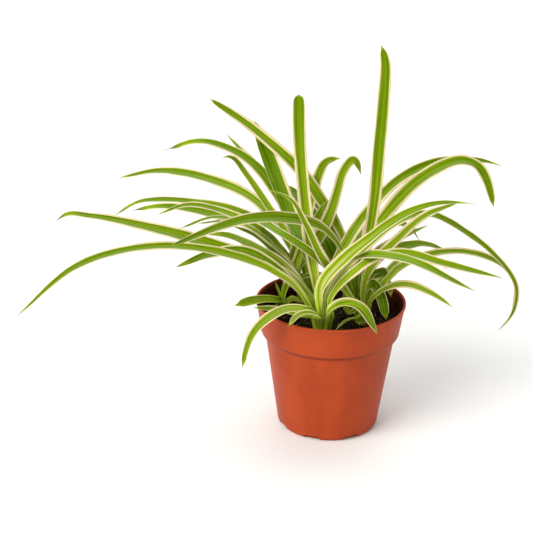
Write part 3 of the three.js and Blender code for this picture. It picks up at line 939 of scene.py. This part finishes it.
FIBRE_SIDES = 5


def soil_profile(pot):
    """From under the middle, up the side a hair inside the pot, to the middle of the top."""
    low, top = SOIL_LOW.z, SOIL_HIGH.z
    inset = pot.wall + SOIL_GAP
    edge = SOIL_HIGH.x - 0.2 * MM
    rim_foot = POT_HIGH.z - pot.rim_band
    corners = [
        (0, low),
        (pot.base - inset - pot.base_round, low),
        (pot.base - inset, low + pot.base_round),
        (pot.wall_top - inset, rim_foot - pot.step),
        (pot.rim_foot - inset, rim_foot + 1 * MM),
        (edge, top - SOIL_EDGE_DROP),
        (edge - 5 * MM, top - 0.9 * MM),
        (edge - 12 * MM, top),
        (0, top),
    ]
    return divided([Vector(corner) for corner in corners], SOIL_ROW)


def soil_height(point, heave):
    """How far the surface stands over its mean there."""
    return heave * sum(noise.noise(point * many) * high for many, high in LUMPS)


def crumb_shape():
    """Unit ball of a crumb, as an array of points and its faces."""
    ball = bmesh.new()
    bmesh.ops.create_icosphere(ball, subdivisions=2, radius=1)
    points = np.array([v.co for v in ball.verts])
    faces = [[v.index for v in face.verts] for face in ball.faces]
    ball.free()
    return points, faces


def tube(path, radius):
    """Points and faces of a closed tapering tube along a path."""
    points, faces = [], []
    count, sides = len(path), FIBRE_SIDES
    for i, place in enumerate(path):
        ahead = path[min(i + 1, count - 1)] - path[max(i - 1, 0)]
        turn = ahead.to_track_quat("Z", "Y")
        size = radius * (1 - 0.6 * i / count)
        for k in range(sides):
            angle = math.tau * k / sides
            points.append(place + turn @ Vector((math.cos(angle), math.sin(angle), 0)) * size)
    for i in range(count - 1):
        for k in range(sides):
            after = (k + 1) % sides
            a, b = i * sides, (i + 1) * sides
            faces.append((a + k, a + after, b + after, b + k))
    faces.append(tuple(reversed(range(sides))))
    faces.append(tuple(range((count - 1) * sides, count * sides)))
    return points, faces


def fill_soil(settings, pot):
    """The body of the soil with lumps on top, and crumbs and fibres lying on it."""
    draw = random.Random(SOIL_SEED)
    top = SOIL_HIGH.z

    def lumpy(point, _angle):
        """Raises the top's points by its lumps, and none further down the side."""
        share = smooth((point.z - (top - 5 * MM)) / (3 * MM))
        return point + Vector((0, 0, float(share) * soil_height(point, settings.heave)))

    soil = Surface()
    soil.add(*turned(soil_profile(pot), SOIL_COLUMNS, lumpy), 0.0)
    edge = SOIL_HIGH.x - 1.2 * MM
    ball, ball_faces = crumb_shape()

    def spot():
        """A place on the surface, drawn at random."""
        angle, radius = draw.uniform(0, math.tau), edge * math.sqrt(draw.random())
        drop = SOIL_EDGE_DROP * float(smooth((radius - edge + 11 * MM) / (12 * MM)))
        place = Vector((radius * math.cos(angle), radius * math.sin(angle), top - drop))
        place.z += soil_height(place, settings.heave)
        return place

    for _ in range(settings.crumbs):
        place = spot()
        size = draw.uniform(*CRUMB) * (BIG_CRUMB if draw.random() < BIG_SHARE else 1)
        stretch = np.array([draw.uniform(0.7, 1.5), draw.uniform(0.6, 1.1), draw.uniform(0.45, 0.9)])
        turn = np.array(Euler([draw.uniform(0, math.tau) for _ in range(3)]).to_matrix())
        seed = Vector((draw.random(), draw.random(), draw.random())) * 50
        rough = np.array([1 + 0.45 * noise.noise(Vector(p) * 1.3 + seed) for p in ball])
        points = (ball * rough[:, None] * stretch * size) @ turn.T + np.array(place)
        soil.add(points, ball_faces, draw.random())
    for _ in range(settings.fibres):
        place, heading = spot(), draw.uniform(0, math.tau)
        path = [place + Vector((0, 0, 0.3 * MM))]
        for _step in range(draw.randint(4, 9)):
            heading += draw.uniform(-0.6, 0.6)
            ahead = path[-1] + Vector((math.cos(heading), math.sin(heading), 0)) * FIBRE_STEP
            ahead.z = top + soil_height(ahead, settings.heave) + draw.uniform(0.0, 0.9) * MM
            path.append(ahead)
        if max(p.xy.length for p in path) < edge:
            soil.add(*tube(path, draw.uniform(*FIBRE)), draw.uniform(0.75, 0.95))
    piece = soil.piece("potting_soil", potting_mix(settings))
    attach(piece, BODY)
    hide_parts("soil")


# ---- Crowns ----
STEM_COLUMNS = 72
STEM_ROW = 0.9 * MM
RIB_SWELL = 0.07  # share of the radius
LOBE_SWELL = 0.06
SCALE_GRID = (7, 6)  # points across a dry scale and up it
SCALE_GAP = 0.3 * MM
SCALE_THICKNESS = 0.18 * MM
SCALE_DEPTH = 2 * MM  # under the soil


def crown_axis(crown):
    """Middle of a crown's solid, its radius and the heights of its foot and top."""
    low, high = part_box("crown_" + crown)
    return (low + high) / 2, (high.x - low.x) / 2, low.z, high.z


def dry_scale(draw, centre, radius, top):
    """One papery scale: a strip bent round the stem, standing up from the soil."""
    middle, spread = draw.uniform(0, math.tau), draw.uniform(0.5, 0.9)
    height, lean = draw.uniform(1.5, 4) * MM, draw.uniform(0.4, 1.2) * MM
    columns, rows = SCALE_GRID
    points, faces = [], []
    for layer in (0, 1):
        for j in range(rows):
            up = j / (rows - 1)
            for i in range(columns):
                side = i / (columns - 1) * 2 - 1
                angle = middle + side * spread * (1 - 0.75 * up**2)
                out = radius + SCALE_GAP + lean * up + layer * SCALE_THICKNESS
                z = top - SCALE_DEPTH + (height + SCALE_DEPTH) * up * (1 - 0.15 * side**2)
                place = Vector((out * math.cos(angle), out * math.sin(angle), z - centre.z))
                points.append(centre + place)
    layer_size = columns * rows
    for j in range(rows - 1):
        for i in range(columns - 1):
            a = j * columns + i
            inner = (a, a + columns, a + columns + 1, a + 1)
            faces.append(inner)
            faces.append(tuple(layer_size + k for k in reversed(inner)))
    # The rim joins the two layers all round.
    rim = list(range(columns))
    rim += [j * columns + columns - 1 for j in range(1, rows)]
    rim += [(rows - 1) * columns + i for i in range(columns - 2, -1, -1)]
    rim += [j * columns for j in range(rows - 2, 0, -1)]
    for a, b in zip(rim, rim[1:] + rim[:1]):
        faces.append((a, b, b + layer_size, a + layer_size))
    return points, faces


def plant_crown(crown, settings, material):
    """A ribbed stem base with a few papery scales round it."""
    draw = random.Random("crown " + crown)
    centre, hole, low, high = crown_axis(crown)
    radius = hole * settings.slimness
    ribs = 7 + draw.randrange(4)
    turn = draw.uniform(0, math.tau)
    corners = [
        (0, low, 0),
        (radius * 0.8, low, 1 * MM),
        (radius * 1.05, SOIL_HIGH.z - 1 * MM, 1 * MM),
        (radius * 0.7, high - 3 * MM, 2.2 * MM),
        (0, high - 1 * MM, 0),
    ]

    def ribbed(point, angle):
        """Moves a point of the stem out or in by its ribs and its three lobes."""
        lobes = LOBE_SWELL * math.cos(3 * angle + 2 * turn)
        swell = 1 + RIB_SWELL * math.cos(ribs * angle + turn) + lobes
        return Vector((centre.x + point.x * swell, centre.y + point.y * swell, point.z))

    stem = Surface()
    stem.add(*turned(divided(rounded(corners), STEM_ROW), STEM_COLUMNS, ribbed), 0.0)
    for _ in range(settings.scales):
        stem.add(*dry_scale(draw, centre, radius, SOIL_HIGH.z), 1.0)
    piece = stem.piece("stem_" + crown, material)
    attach(piece, BODY)
    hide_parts("crown_" + crown)


# ---- Leaves ----
STATION = 1.3 * MM  # between two rows of a blade
LEAST_ROWS = 24
ACROSS = 17  # points across each face
ROOT_DEPTH = 2.5 * MM  # how far a leaf's sheath goes on under the soil
GATHER_LENGTH = 34 * MM
SHEATH_LENGTH = 20 * MM
SHEATH_SWELL = 0.15
FULLNESS = 1.04  # widest part of a blade beside its solid's
NARROWEST = 0.12 * MM  # half width of a dried tip
EXTRA_FOLD = 1.3
BASE_FOLD = 0.25  # radians more at the base
FOLDED_LENGTH = 70 * MM  # the sharper fold of the base opens over this length
KEEL_ROUND = 0.16  # share of a half over which the keel is round
WANDER = math.radians(5)  # how far a blade rolls to and fro
WANDER_LENGTH = 38 * MM
SWELL_LENGTH = 11 * MM
EDGE_WAVES = (5.5, 8.5)  # millimetres, shortest and longest
UPPER_SHARE = 0.4  # of the thickness that lies over the middle surface
MAP_INSET = 0.01  # round the blade's map

# High deep values of the leaves that lie in shade are partly painted shade.
# What a leaf has unless HABITS says otherwise.
# margin: share of each half that is cream. A leaf without one gets it by chance.
# lean: how far the margins differ. 1 is all on the right edge of an upright leaf, which is the
#   upper edge of one that arches left and the lower edge of one that arches right.
# stripe: strength of a pale middle, which fades to a quarter over striped millimetres from the base.
# deep: how dark the green is, from 0 to 1. dry: millimetres of dried tip. Both come by chance too.
# wide: width beside the solid's, all along. base: the same for the inner half alone.
# plump: below 1 the outer half keeps its width for longer, above 1 it tapers sooner.
# round: millimetres of a blunt end, or 0 for a pointed one.
# turn: degrees that the blade turns over at turn_at millimetres from its tip, over turn_over.
# droop: millimetres that the last droop_over millimetres hang down.
USUAL = {
    "lean": 0, "stripe": 0.15, "striped": 90, "wide": 1, "base": 1, "plump": 0.75, "round": 0,
    "turn": 20, "turn_at": 10, "turn_over": 20, "droop": 0, "droop_over": 12,
}
HABITS = {
    "front_01": {"margin": 0.26, "stripe": 0.3, "deep": 0.15, "base": 1.25},
    "front_02": {"margin": 0.26, "stripe": 0.3, "deep": 0.3, "dry": 11, "turn": 60, "base": 1.2},
    "front_03": {"margin": 0.2, "deep": 0.75, "dry": 6},
    "front_04": {"margin": 0.26, "deep": 0.45, "dry": 5},
    "front_05": {"margin": 0.16, "lean": 1, "deep": 0.95, "dry": 8, "plump": 0.6, "round": 5,
                 "base": 0.45, "wide": 0.7},
    "front_06": {"margin": 0.34, "lean": 0.4, "deep": 0.3, "dry": 6, "turn": 30, "base": 1.1},
    "front_07": {"margin": 0.2, "stripe": 0.8, "striped": 190, "deep": 0.15, "dry": 8, "turn": 30,
                 "base": 1.95, "wide": 0.76, "plump": 1.15},
    "front_08": {"margin": 0.33, "stripe": 0.4, "deep": 0.25, "dry": 8, "turn": 50, "plump": 0.42,
                 "base": 1.2},
    "front_09": {"margin": 0.3, "lean": 0.4, "deep": 0.5, "dry": 6},
    "front_10": {"margin": 0.32, "deep": 0.5, "dry": 3, "plump": 0.45, "base": 0.6, "wide": 1.25},
    "front_11": {"margin": 0.28, "deep": 0.6, "dry": 3, "plump": 0.5},
    "front_12": {"margin": 0.3, "deep": 0.6, "dry": 3, "plump": 0.6},
    "front_13": {"margin": 0.12, "deep": 0.8, "dry": 3, "wide": 1.3},
    "front_14": {"margin": 0.3, "deep": 0.25, "dry": 1, "plump": 0.12, "round": 4, "turn": 0,
                 "wide": 1.12},
    "front_15": {"margin": 0.32, "lean": 0.5, "stripe": 0.45, "deep": 0.2},
    "right_01": {"margin": 0.28, "deep": 0.3, "dry": 2, "plump": 0.5, "turn": 0},
    "right_02": {"margin": 0.36, "stripe": 0.4, "deep": 0.2, "dry": 3},
    "right_03": {"margin": 0.33, "deep": 0.3},
    "right_04": {"margin": 0.33, "deep": 0.3},
    "right_05": {"margin": 0.3, "lean": 0.5, "deep": 0.1, "dry": 5, "plump": 1.5},
    "right_06": {"margin": 0.16, "deep": 0.95, "dry": 3, "plump": 0.6},
    "right_07": {"margin": 0.16, "deep": 1.0, "dry": 3, "plump": 0.45},
    "right_08": {"margin": 0.3, "deep": 0.4, "dry": 2, "wide": 1.3},
    "right_10": {"margin": 0.3, "deep": 0.3, "dry": 1},
    "centre_01": {"margin": 0.2, "deep": 0.5, "dry": 14, "turn": 90},
    "centre_02": {"margin": 0.34, "deep": 0.15, "dry": 2, "plump": 0.5, "base": 0.75},
    "centre_03": {"margin": 0.14, "deep": 1.0, "wide": 1.15, "base": 1.6},
    "centre_04": {"margin": 0.16, "lean": 0.4, "deep": 0.9, "base": 1.4},
    "centre_05": {"margin": 0.2, "deep": 0.4, "dry": 3},
    "centre_06": {"margin": 0.36, "deep": 0.3, "dry": 2, "plump": 0.4, "turn": -40, "turn_at": 30},
    "centre_07": {"margin": 0.1, "deep": 0.8, "dry": 3},
    "centre_12": {"margin": 0.2, "deep": 0.9, "dry": 3, "base": 1.4},
    "back_02": {"margin": 0.2, "deep": 0.55, "dry": 16, "turn": 90},
    "back_05": {"margin": 0.3, "deep": 0.35},
    "back_06": {"margin": 0.3, "deep": 0, "dry": 4, "turn": 30, "plump": 0.9, "droop": 3,
                "droop_over": 6},
    "back_07": {"margin": 0.24, "lean": -0.6, "deep": 0.6, "dry": 20, "turn": 170},
    "back_08": {"margin": 0.5, "lean": 0.7, "deep": 0.3, "dry": 4},
    "left_01": {"margin": 0.1, "deep": 0.3, "plump": 0.35, "wide": 1.4},
    "left_02": {"margin": 0.28, "deep": 0.1, "dry": 2, "plump": 0.35, "turn": 0},
    "left_03": {"margin": 0.3, "deep": 0.1, "dry": 2, "plump": 0.35},
    "left_05": {"margin": 0.2, "deep": 0.1, "wide": 1.4},
    "left_06": {"margin": 0.26, "lean": -0.8, "deep": 0.1, "dry": 1, "plump": 0.5},
}


def welded(node):
    """Points of a CAD node with doubles merged, and the neighbours of each."""
    mesh = NODES[node].data
    order, points, index = {}, [], []
    for vertex in mesh.vertices:
        key = tuple(round(value / (0.01 * MM)) for value in vertex.co)
        if key not in order:
            order[key] = len(points)
            points.append(np.array(vertex.co))
        index.append(order[key])
    neighbours = [set() for _ in points]
    for a, b in (edge.vertices for edge in mesh.edges):
        if index[a] != index[b]:
            neighbours[index[a]].add(index[b])
            neighbours[index[b]].add(index[a])
    return points, neighbours


def steps_from(starts, neighbours):
    """How many edges each point lies from the nearest of the starts."""
    steps, wave, far = dict.fromkeys(starts, 0), set(starts), 0
    while wave:
        far += 1
        wave = {n for i in wave for n in neighbours[i]} - steps.keys()
        steps.update(dict.fromkeys(sorted(wave), far))
    return steps


def distance(points, pair):
    """How far apart two of the points are, given the pair of their places in the list."""
    return np.linalg.norm(points[pair[0]] - points[pair[1]])


def leaf_rings(crown, number):
    """Centre, face direction, reach and fold at each ring of a leaf's CAD solid, and at its tip.

    A ring has four points: two edges, the groove and the keel. The closest two are the last ones.
    """
    points, neighbours = welded(f"leaf_{crown}_{number}")
    axis, _, _, top = crown_axis(crown)

    def off_seat(i):
        """How far a point lies from the middle of the crown's top, where the leaf's first ring is."""
        x, y, z = points[i]
        return abs(z - top) * 20 + math.hypot(x - axis.x, y - axis.y)

    seat = sorted(range(len(points)), key=off_seat)[:4]
    from_seat = steps_from(seat, neighbours)
    tip = max(from_seat, key=from_seat.get)
    to_tip = steps_from([tip], neighbours)
    centres, faces, reaches, folds = [], [], [], []
    for step in range(max(to_tip.values()), 0, -1):
        ring = [points[i] for i, far in to_tip.items() if far == step]
        spine = min(combinations(range(4), 2), key=lambda pair: distance(ring, pair))
        edges = [ring[i] for i in range(4) if i not in spine]
        low = (ring[spine[0]] + ring[spine[1]]) / 2
        rise = sum(edges) / 2 - low
        depth, span = np.linalg.norm(rise), distance(edges, (0, 1)) / 2
        centres.append(low + rise / 2)
        faces.append(unit(rise))
        reaches.append(math.hypot(span, depth))
        folds.append(math.atan2(depth, span))
    centres.append(points[tip])
    faces.append(faces[-1])
    reaches.append(0.0)
    folds.append(folds[-1])
    return np.array(centres), np.array(faces), np.array(reaches), np.array(folds)


def with_sheath(centres, faces, reaches, folds):
    """The same rings after one more, under the soil, where the leaf's sheath begins."""
    root = centres[0].copy()
    root[2] = SOIL_HIGH.z - ROOT_DEPTH
    return (
        np.vstack([root, centres]),
        np.vstack([faces[0], faces]),
        np.concatenate([reaches[:1], reaches]),
        np.concatenate([folds[:1], folds]),
    )


class Blade:
    """A fine thin blade along the line, width, fold and roll that a leaf's CAD solid has.

    It is cut into even rows. Every row has its centre, its side and face directions, its reach,
    which is its half width, and its fold, which is the angle that each half stands up by.
    """

    def __init__(self, crown, number, settings):
        self.name = f"{crown}_{number}"
        self.settings = settings
        self.draw = random.Random("leaf " + self.name)
        chance = {
            "margin": self.draw.uniform(0.2, 0.34),
            "deep": self.draw.uniform(0.2, 0.7),
            "dry": self.draw.uniform(2, 6),
        }
        self.habit = {**USUAL, **chance, **HABITS.get(self.name, {})}
        centres, faces, reaches, folds = with_sheath(*leaf_rings(crown, number))
        stretches = np.linalg.norm(np.diff(centres, axis=0), axis=1)
        knots = np.concatenate([[0], np.cumsum(stretches)])
        self.tip = centres[-1]
        self.length = knots[-1]
        self.rows = max(LEAST_ROWS, math.ceil(self.length / STATION))
        self.along = np.linspace(0, self.length, self.rows + 1)[:-1]
        self.to_tip = self.length - self.along
        self.sheath = 1 - smooth(self.along / SHEATH_LENGTH)
        self.outer = smooth((self.along / self.length - 0.2) / 0.4)
        self.lay_line(crown_axis(crown)[0], knots, centres, faces)
        self.roll_over()
        self.set_reach(knots, reaches)
        opening = 1 - smooth(self.along / FOLDED_LENGTH)
        self.fold = spline(knots, folds, self.along) * EXTRA_FOLD + BASE_FOLD * opening

    def lay_line(self, axis, knots, centres, faces):
        """Lays the rows along the solid's line, drawn in to the crown's axis at the base."""
        self.line = spline(knots, centres, self.along)
        drawn_in = 1 - self.settings.gather * (1 - smooth(self.along / GATHER_LENGTH))
        for k, middle in enumerate((axis.x, axis.y)):
            self.line[:, k] = middle + (self.line[:, k] - middle) * drawn_in
        tangent = unit(np.gradient(self.line, axis=0))
        face = spline(knots, faces, self.along)
        self.face = unit(face - tangent * np.sum(face * tangent, axis=1, keepdims=True))
        self.side = np.cross(tangent, self.face)
        hanging = np.clip(1 - self.to_tip / (self.habit["droop_over"] * MM), 0, 1) ** 2
        self.line[:, 2] -= self.habit["droop"] * MM * hanging

    def roll_over(self):
        """Rolls the blade to and fro a little, and turns it over where the tip has dried."""
        habit = self.habit
        phase = self.draw.uniform(0, math.tau)
        wander = WANDER * np.sin(self.along / WANDER_LENGTH + phase) * smooth(self.along / (40 * MM))
        past_turn = habit["turn_at"] - self.to_tip / MM
        turned_by = smooth(0.5 + past_turn / habit["turn_over"])
        roll = wander + math.radians(habit["turn"]) * turned_by
        cosine, sine = np.cos(roll)[:, None], np.sin(roll)[:, None]
        side, face = self.side, self.face
        self.side = side * cosine + face * sine
        self.face = face * cosine - side * sine

    def set_reach(self, knots, reaches):
        """Sets the half widths: the solid's, changed by the habit, to a thread or a round end."""
        habit = self.habit
        widest = reaches.max()
        reach = np.clip(spline(knots, reaches, self.along), 0.05 * MM, None)
        reach = FULLNESS * widest * (reach / widest) ** (1 + (habit["plump"] - 1) * self.outer)
        reach = reach * habit["wide"] * (habit["base"] + (1 - habit["base"]) * self.outer)
        swell = np.sin(self.along / SWELL_LENGTH + self.draw.uniform(0, math.tau))
        reach = reach * (1 + SHEATH_SWELL * self.sheath) * (1 + 0.025 * swell)
        if habit["round"]:
            short_of_end = 1 - np.clip(self.to_tip / (habit["round"] * MM), 0, 1)
            reach = reach * np.sqrt(np.clip(1 - short_of_end**2, 0.001, 1))
        else:
            thread = max(6, habit["dry"]) * MM
            reach = reach * (0.3 + 0.7 * smooth(self.to_tip / thread))
        self.reach = np.maximum(reach, NARROWEST)

    def section(self):
        """How far each row's points lie out to the side and up towards the face.

        The channel is round at the keel and flattens to the edges, and the edges wave.
        """
        across = np.linspace(-1, 1, ACROSS)
        between = (across[1:] + across[:-1]) / 2
        shape = np.tanh(between / KEEL_ROUND) * (1 - 0.45 * between**2)
        slope = self.fold[:, None] * shape[None, :] * 1.15
        step = self.reach[:, None] * np.diff(across)[None, :]
        start = np.zeros((self.rows, 1))
        out = np.concatenate([start, np.cumsum(step * np.cos(slope), axis=1)], axis=1)
        up = np.concatenate([start, np.cumsum(step * np.sin(slope), axis=1)], axis=1)
        middle = ACROSS // 2
        out -= out[:, middle : middle + 1]
        up -= up[:, middle : middle + 1]
        up -= (0.5 * self.reach * np.sin(self.fold))[:, None]
        wave = np.zeros_like(up)
        for edge in (-1, 1):
            phase = self.draw.uniform(0, math.tau)
            pitch = self.draw.uniform(*EDGE_WAVES) * MM
            swing = np.sin(self.along / pitch + phase)
            swing = swing + 0.5 * np.sin(self.along / (pitch * 0.43) + 2 * phase)
            near_edge = np.clip(across * edge, 0, 1) ** 2.2
            wave += (swing * np.clip(self.reach / (4 * MM), 0, 1))[:, None] * near_edge[None, :]
        up += wave * self.settings.edge_wave * (1 - self.sheath)[:, None]
        return across, out, up

    def rings(self):
        """Each row's points all round: over the upper face, then back under it.

        The blade is thin at its edges, and thinner where it is narrow.
        """
        across, out, up = self.section()
        lean = np.gradient(up, axis=1) / np.maximum(np.abs(np.gradient(out, axis=1)), 1e-7)
        normal_out, normal_up = -lean / np.sqrt(1 + lean**2), 1 / np.sqrt(1 + lean**2)
        thick = self.settings.thickness * (1 - 0.75 * np.abs(across) ** 2.5)[None, :]
        thick = thick * (0.35 + 0.65 * smooth(self.reach / (2.2 * MM)))[:, None]

        def skin(lift):
            """The rows' points at that share of the thickness over the middle surface."""
            x = (out + normal_out * thick * lift)[:, :, None]
            y = (up + normal_up * thick * lift)[:, :, None]
            return self.line[:, None, :] + self.side[:, None, :] * x + self.face[:, None, :] * y

        upper, under = skin(UPPER_SHARE), skin(UPPER_SHARE - 1)
        return np.concatenate([upper, under[:, ::-1, :]], axis=1)

    def mesh(self):
        """The blade's closed mesh, with the attributes and the map that its material reads."""
        ring = 2 * ACROSS
        points = np.concatenate([self.rings().reshape(-1, 3), self.tip[None, :]])
        i, j = np.meshgrid(np.arange(ring), np.arange(self.rows - 1))
        a = j * ring + i
        b = j * ring + (i + 1) % ring
        faces = np.stack([a, b, b + ring, a + ring], axis=-1).reshape(-1, 4).tolist()
        last, tip = (self.rows - 1) * ring, self.rows * ring
        faces += [(last + k, last + (k + 1) % ring, tip) for k in range(ring)]
        faces += [(k + 1, k, ring - 1 - k, ring - 2 - k) for k in range(ACROSS - 1)]
        mesh = bpy.data.meshes.new("blade_" + self.name)
        mesh.from_pydata(points.tolist(), [], faces)
        for label, values in self.marks().items():
            attribute = mesh.attributes.new(label, "FLOAT_VECTOR", "POINT")
            attribute.data.foreach_set("vector", values.ravel())
        lay_flat(mesh, ring, self.rows)
        return mesh

    def marks(self):
        """Three numbers for every point under each name that the material reads."""
        habit = self.habit
        across = np.linspace(-1, 1, ACROSS)
        around = np.concatenate([across, across[::-1]])
        below = np.concatenate([np.zeros(ACROSS), np.ones(ACROSS)])
        along, to_tip = self.along / MM, self.to_tip / MM
        wavy = 1 + 0.3 * np.sin(along / self.draw.uniform(14, 30) + self.draw.uniform(0, math.tau))
        margin = habit["margin"] * wavy * (0.5 + 0.5 * smooth(to_tip / 30))
        margin = margin[:, None] * np.clip(1 + habit["lean"] * around[None, :], 0, None)
        stripe = habit["stripe"] * (0.25 + 0.75 * (1 - smooth(along / habit["striped"])))
        seed = self.draw.random()

        def spread(x, y, z, at_tip):
            """Three numbers for every point of the rows, and then those of the tip."""
            values = [np.broadcast_to(value, margin.shape).ravel() for value in (x, y, z)]
            return np.concatenate([np.stack(values, axis=-1), [at_tip]])

        deep, dry = habit["deep"], habit["dry"]
        return {
            "blade": spread(around[None, :], along[:, None], to_tip[:, None], (0, self.length / MM, 0)),
            "pattern": spread(seed, margin, stripe[:, None], (seed, margin[-1, 0], stripe[-1])),
            "tone": spread(deep, dry, below[None, :], (deep, dry, 0.5)),
        }


def grow_leaf(crown, number, settings, material):
    """Makes one leaf's blade in place of its solid."""
    blade = Blade(crown, number, settings)
    piece = placed("blade_" + blade.name, blade.mesh(), material)
    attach(piece, BODY)
    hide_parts("leaf_" + blade.name)


def lay_flat(mesh, ring, rows):
    """Unrolls the blade on a map of its own: round it from left to right, along it upwards."""
    layer = mesh.uv_layers.new(name="OFBake")
    inset, span = MAP_INSET, 1 - 2 * MAP_INSET
    flat = []
    for polygon in mesh.polygons:
        vertices = list(polygon.vertices)
        wraps = any(v % ring == ring - 1 for v in vertices) and any(v % ring == 0 for v in vertices)
        for vertex in vertices:
            column, row = vertex % ring, vertex // ring
            if vertex == rows * ring:
                column = sum(v % ring for v in vertices[:2]) / 2
            elif wraps and column == 0:
                column = ring
            flat += [inset + span * column / ring, inset + span * row / rows]
    layer.data.foreach_set("uv", flat)


# ---- Stage ----
FLOOR_GAP = 0.05 * MM  # under the pot
# Where each light comes from, how many degrees of sky it fills, and its colour.
KEY = ((-0.85, -0.65, 0.9), 40, (1, 0.985, 0.95))
FILL = ((-0.1, -1.0, 0.3), 60, (1, 1, 0.98))
TOP = ((0.1, 0.45, 1.0), 50, (1, 1, 1))
SENSOR = 36  # millimetres wide


def soft_light(name, strength, source, spread, colour):
    """A distant light as wide in the sky as its spread, which lights the whole floor alike."""
    light = bpy.data.lights.new(name, "SUN")
    light.energy = strength
    light.angle = math.radians(spread)
    light.color = colour
    lamp = bpy.data.objects.new(name, light)
    lamp.rotation_euler = (-Vector(source)).to_track_quat("-Z", "Y").to_euler()
    bpy.context.scene.collection.objects.link(lamp)


def set_stage(settings):
    """Round pale floor, even ambient light, three soft lights and the camera."""
    disc = bmesh.new()
    bmesh.ops.create_circle(disc, cap_ends=True, segments=96, radius=settings.floor)
    mesh = bpy.data.meshes.new("floor")
    disc.to_mesh(mesh)
    disc.free()
    floor = placed("floor", mesh, plain_floor(settings))
    floor.location.z = CAD_LOW.z - FLOOR_GAP

    world = bpy.data.worlds.new("studio")
    world.use_nodes = True
    background = world.node_tree.nodes["Background"]
    background.inputs["Color"].default_value = (1, 1, 1, 1)
    background.inputs["Strength"].default_value = settings.ambient
    scene = bpy.context.scene
    scene.world = world
    scene.view_settings.view_transform = "Standard"

    soft_light("key_light", settings.key, *KEY)
    soft_light("fill_light", settings.fill, *FILL)
    soft_light("top_light", settings.top, *TOP)

    lens = bpy.data.cameras.new("camera")
    lens.lens = settings.lens
    lens.sensor_width = SENSOR
    camera = bpy.data.objects.new("camera", lens)
    scene.collection.objects.link(camera)
    back = Vector((0, -math.cos(settings.pitch), math.sin(settings.pitch)))
    upright = (-back).to_track_quat("-Z", "Y").to_matrix()
    tilt = Matrix.Rotation(settings.roll, 3, "Z")
    camera.matrix_world = (upright @ tilt).to_4x4()
    camera.location = Vector(settings.aim) + back * settings.distance
    scene.camera = camera


# ---- Operators ----
class PLANT_OT_mould_pot(bpy.types.Operator):
    """Mould the pot with its rim band, lip and drain slots"""

    bl_idname = "plant.mould_pot"
    bl_label = "Mould Pot"

    def execute(self, context):
        mould_pot(context.scene.plant_pot)
        return {"FINISHED"}


class PLANT_OT_fill_soil(bpy.types.Operator):
    """Fill the pot with potting soil, crumbs and fibres"""

    bl_idname = "plant.fill_soil"
    bl_label = "Fill Soil"

    def execute(self, context):
        fill_soil(context.scene.plant_soil, context.scene.plant_pot)
        return {"FINISHED"}


class PLANT_OT_plant_crowns(bpy.types.Operator):
    """Plant the stem bases that carry the leaves"""

    bl_idname = "plant.plant_crowns"
    bl_label = "Plant Crowns"

    def execute(self, context):
        settings = context.scene.plant_crown
        material = stem_flesh(settings)
        for crown in CROWNS:
            plant_crown(crown, settings, material)
        return {"FINISHED"}


class PLANT_OT_grow_leaves(bpy.types.Operator):
    """Grow one blade along each leaf of the frame"""

    bl_idname = "plant.grow_leaves"
    bl_label = "Grow Leaves"

    def execute(self, context):
        settings = context.scene.plant_leaf
        material = leaf_blade(settings)
        for node in sorted(NODES):
            if node.startswith("leaf_"):
                _, crown, number = node.split("_")
                grow_leaf(crown, number, settings, material)
        return {"FINISHED"}


class PLANT_OT_set_stage(bpy.types.Operator):
    """Set up the floor, the lights and the camera"""

    bl_idname = "plant.set_stage"
    bl_label = "Set Stage"

    def execute(self, context):
        set_stage(context.scene.plant_stage)
        return {"FINISHED"}


OPERATORS = (
    PLANT_OT_mould_pot,
    PLANT_OT_fill_soil,
    PLANT_OT_plant_crowns,
    PLANT_OT_grow_leaves,
    PLANT_OT_set_stage,
)
SETTINGS = {
    "plant_pot": PotSettings,
    "plant_soil": SoilSettings,
    "plant_crown": CrownSettings,
    "plant_leaf": LeafSettings,
    "plant_stage": StageSettings,
}


class PLANT_PT_sidebar(bpy.types.Panel):
    """Steps and settings of the potted spider plant"""

    bl_idname = "PLANT_PT_sidebar"
    bl_label = "Spider Plant"
    bl_space_type = "VIEW_3D"
    bl_region_type = "UI"
    bl_category = "Spider Plant"

    def draw(self, context):
        for operator, (key, group) in zip(OPERATORS, SETTINGS.items()):
            box = self.layout.box()
            box.operator(operator.bl_idname)
            for setting in group.__annotations__:
                box.prop(getattr(context.scene, key), setting)


def register():
    for group in SETTINGS.values():
        bpy.utils.register_class(group)
    for key, group in SETTINGS.items():
        setattr(bpy.types.Scene, key, PointerProperty(type=group))
    for operator in OPERATORS:
        bpy.utils.register_class(operator)
    bpy.utils.register_class(PLANT_PT_sidebar)


def unregister():
    bpy.utils.unregister_class(PLANT_PT_sidebar)
    for operator in reversed(OPERATORS):
        bpy.utils.unregister_class(operator)
    for key, group in SETTINGS.items():
        delattr(bpy.types.Scene, key)
        bpy.utils.unregister_class(group)


def main():
    """Builds every piece."""
    register()
    bpy.ops.plant.mould_pot()
    bpy.ops.plant.fill_soil()
    bpy.ops.plant.plant_crowns()
    bpy.ops.plant.grow_leaves()
    bpy.ops.plant.set_stage()


if __name__ == "__main__":
    main()
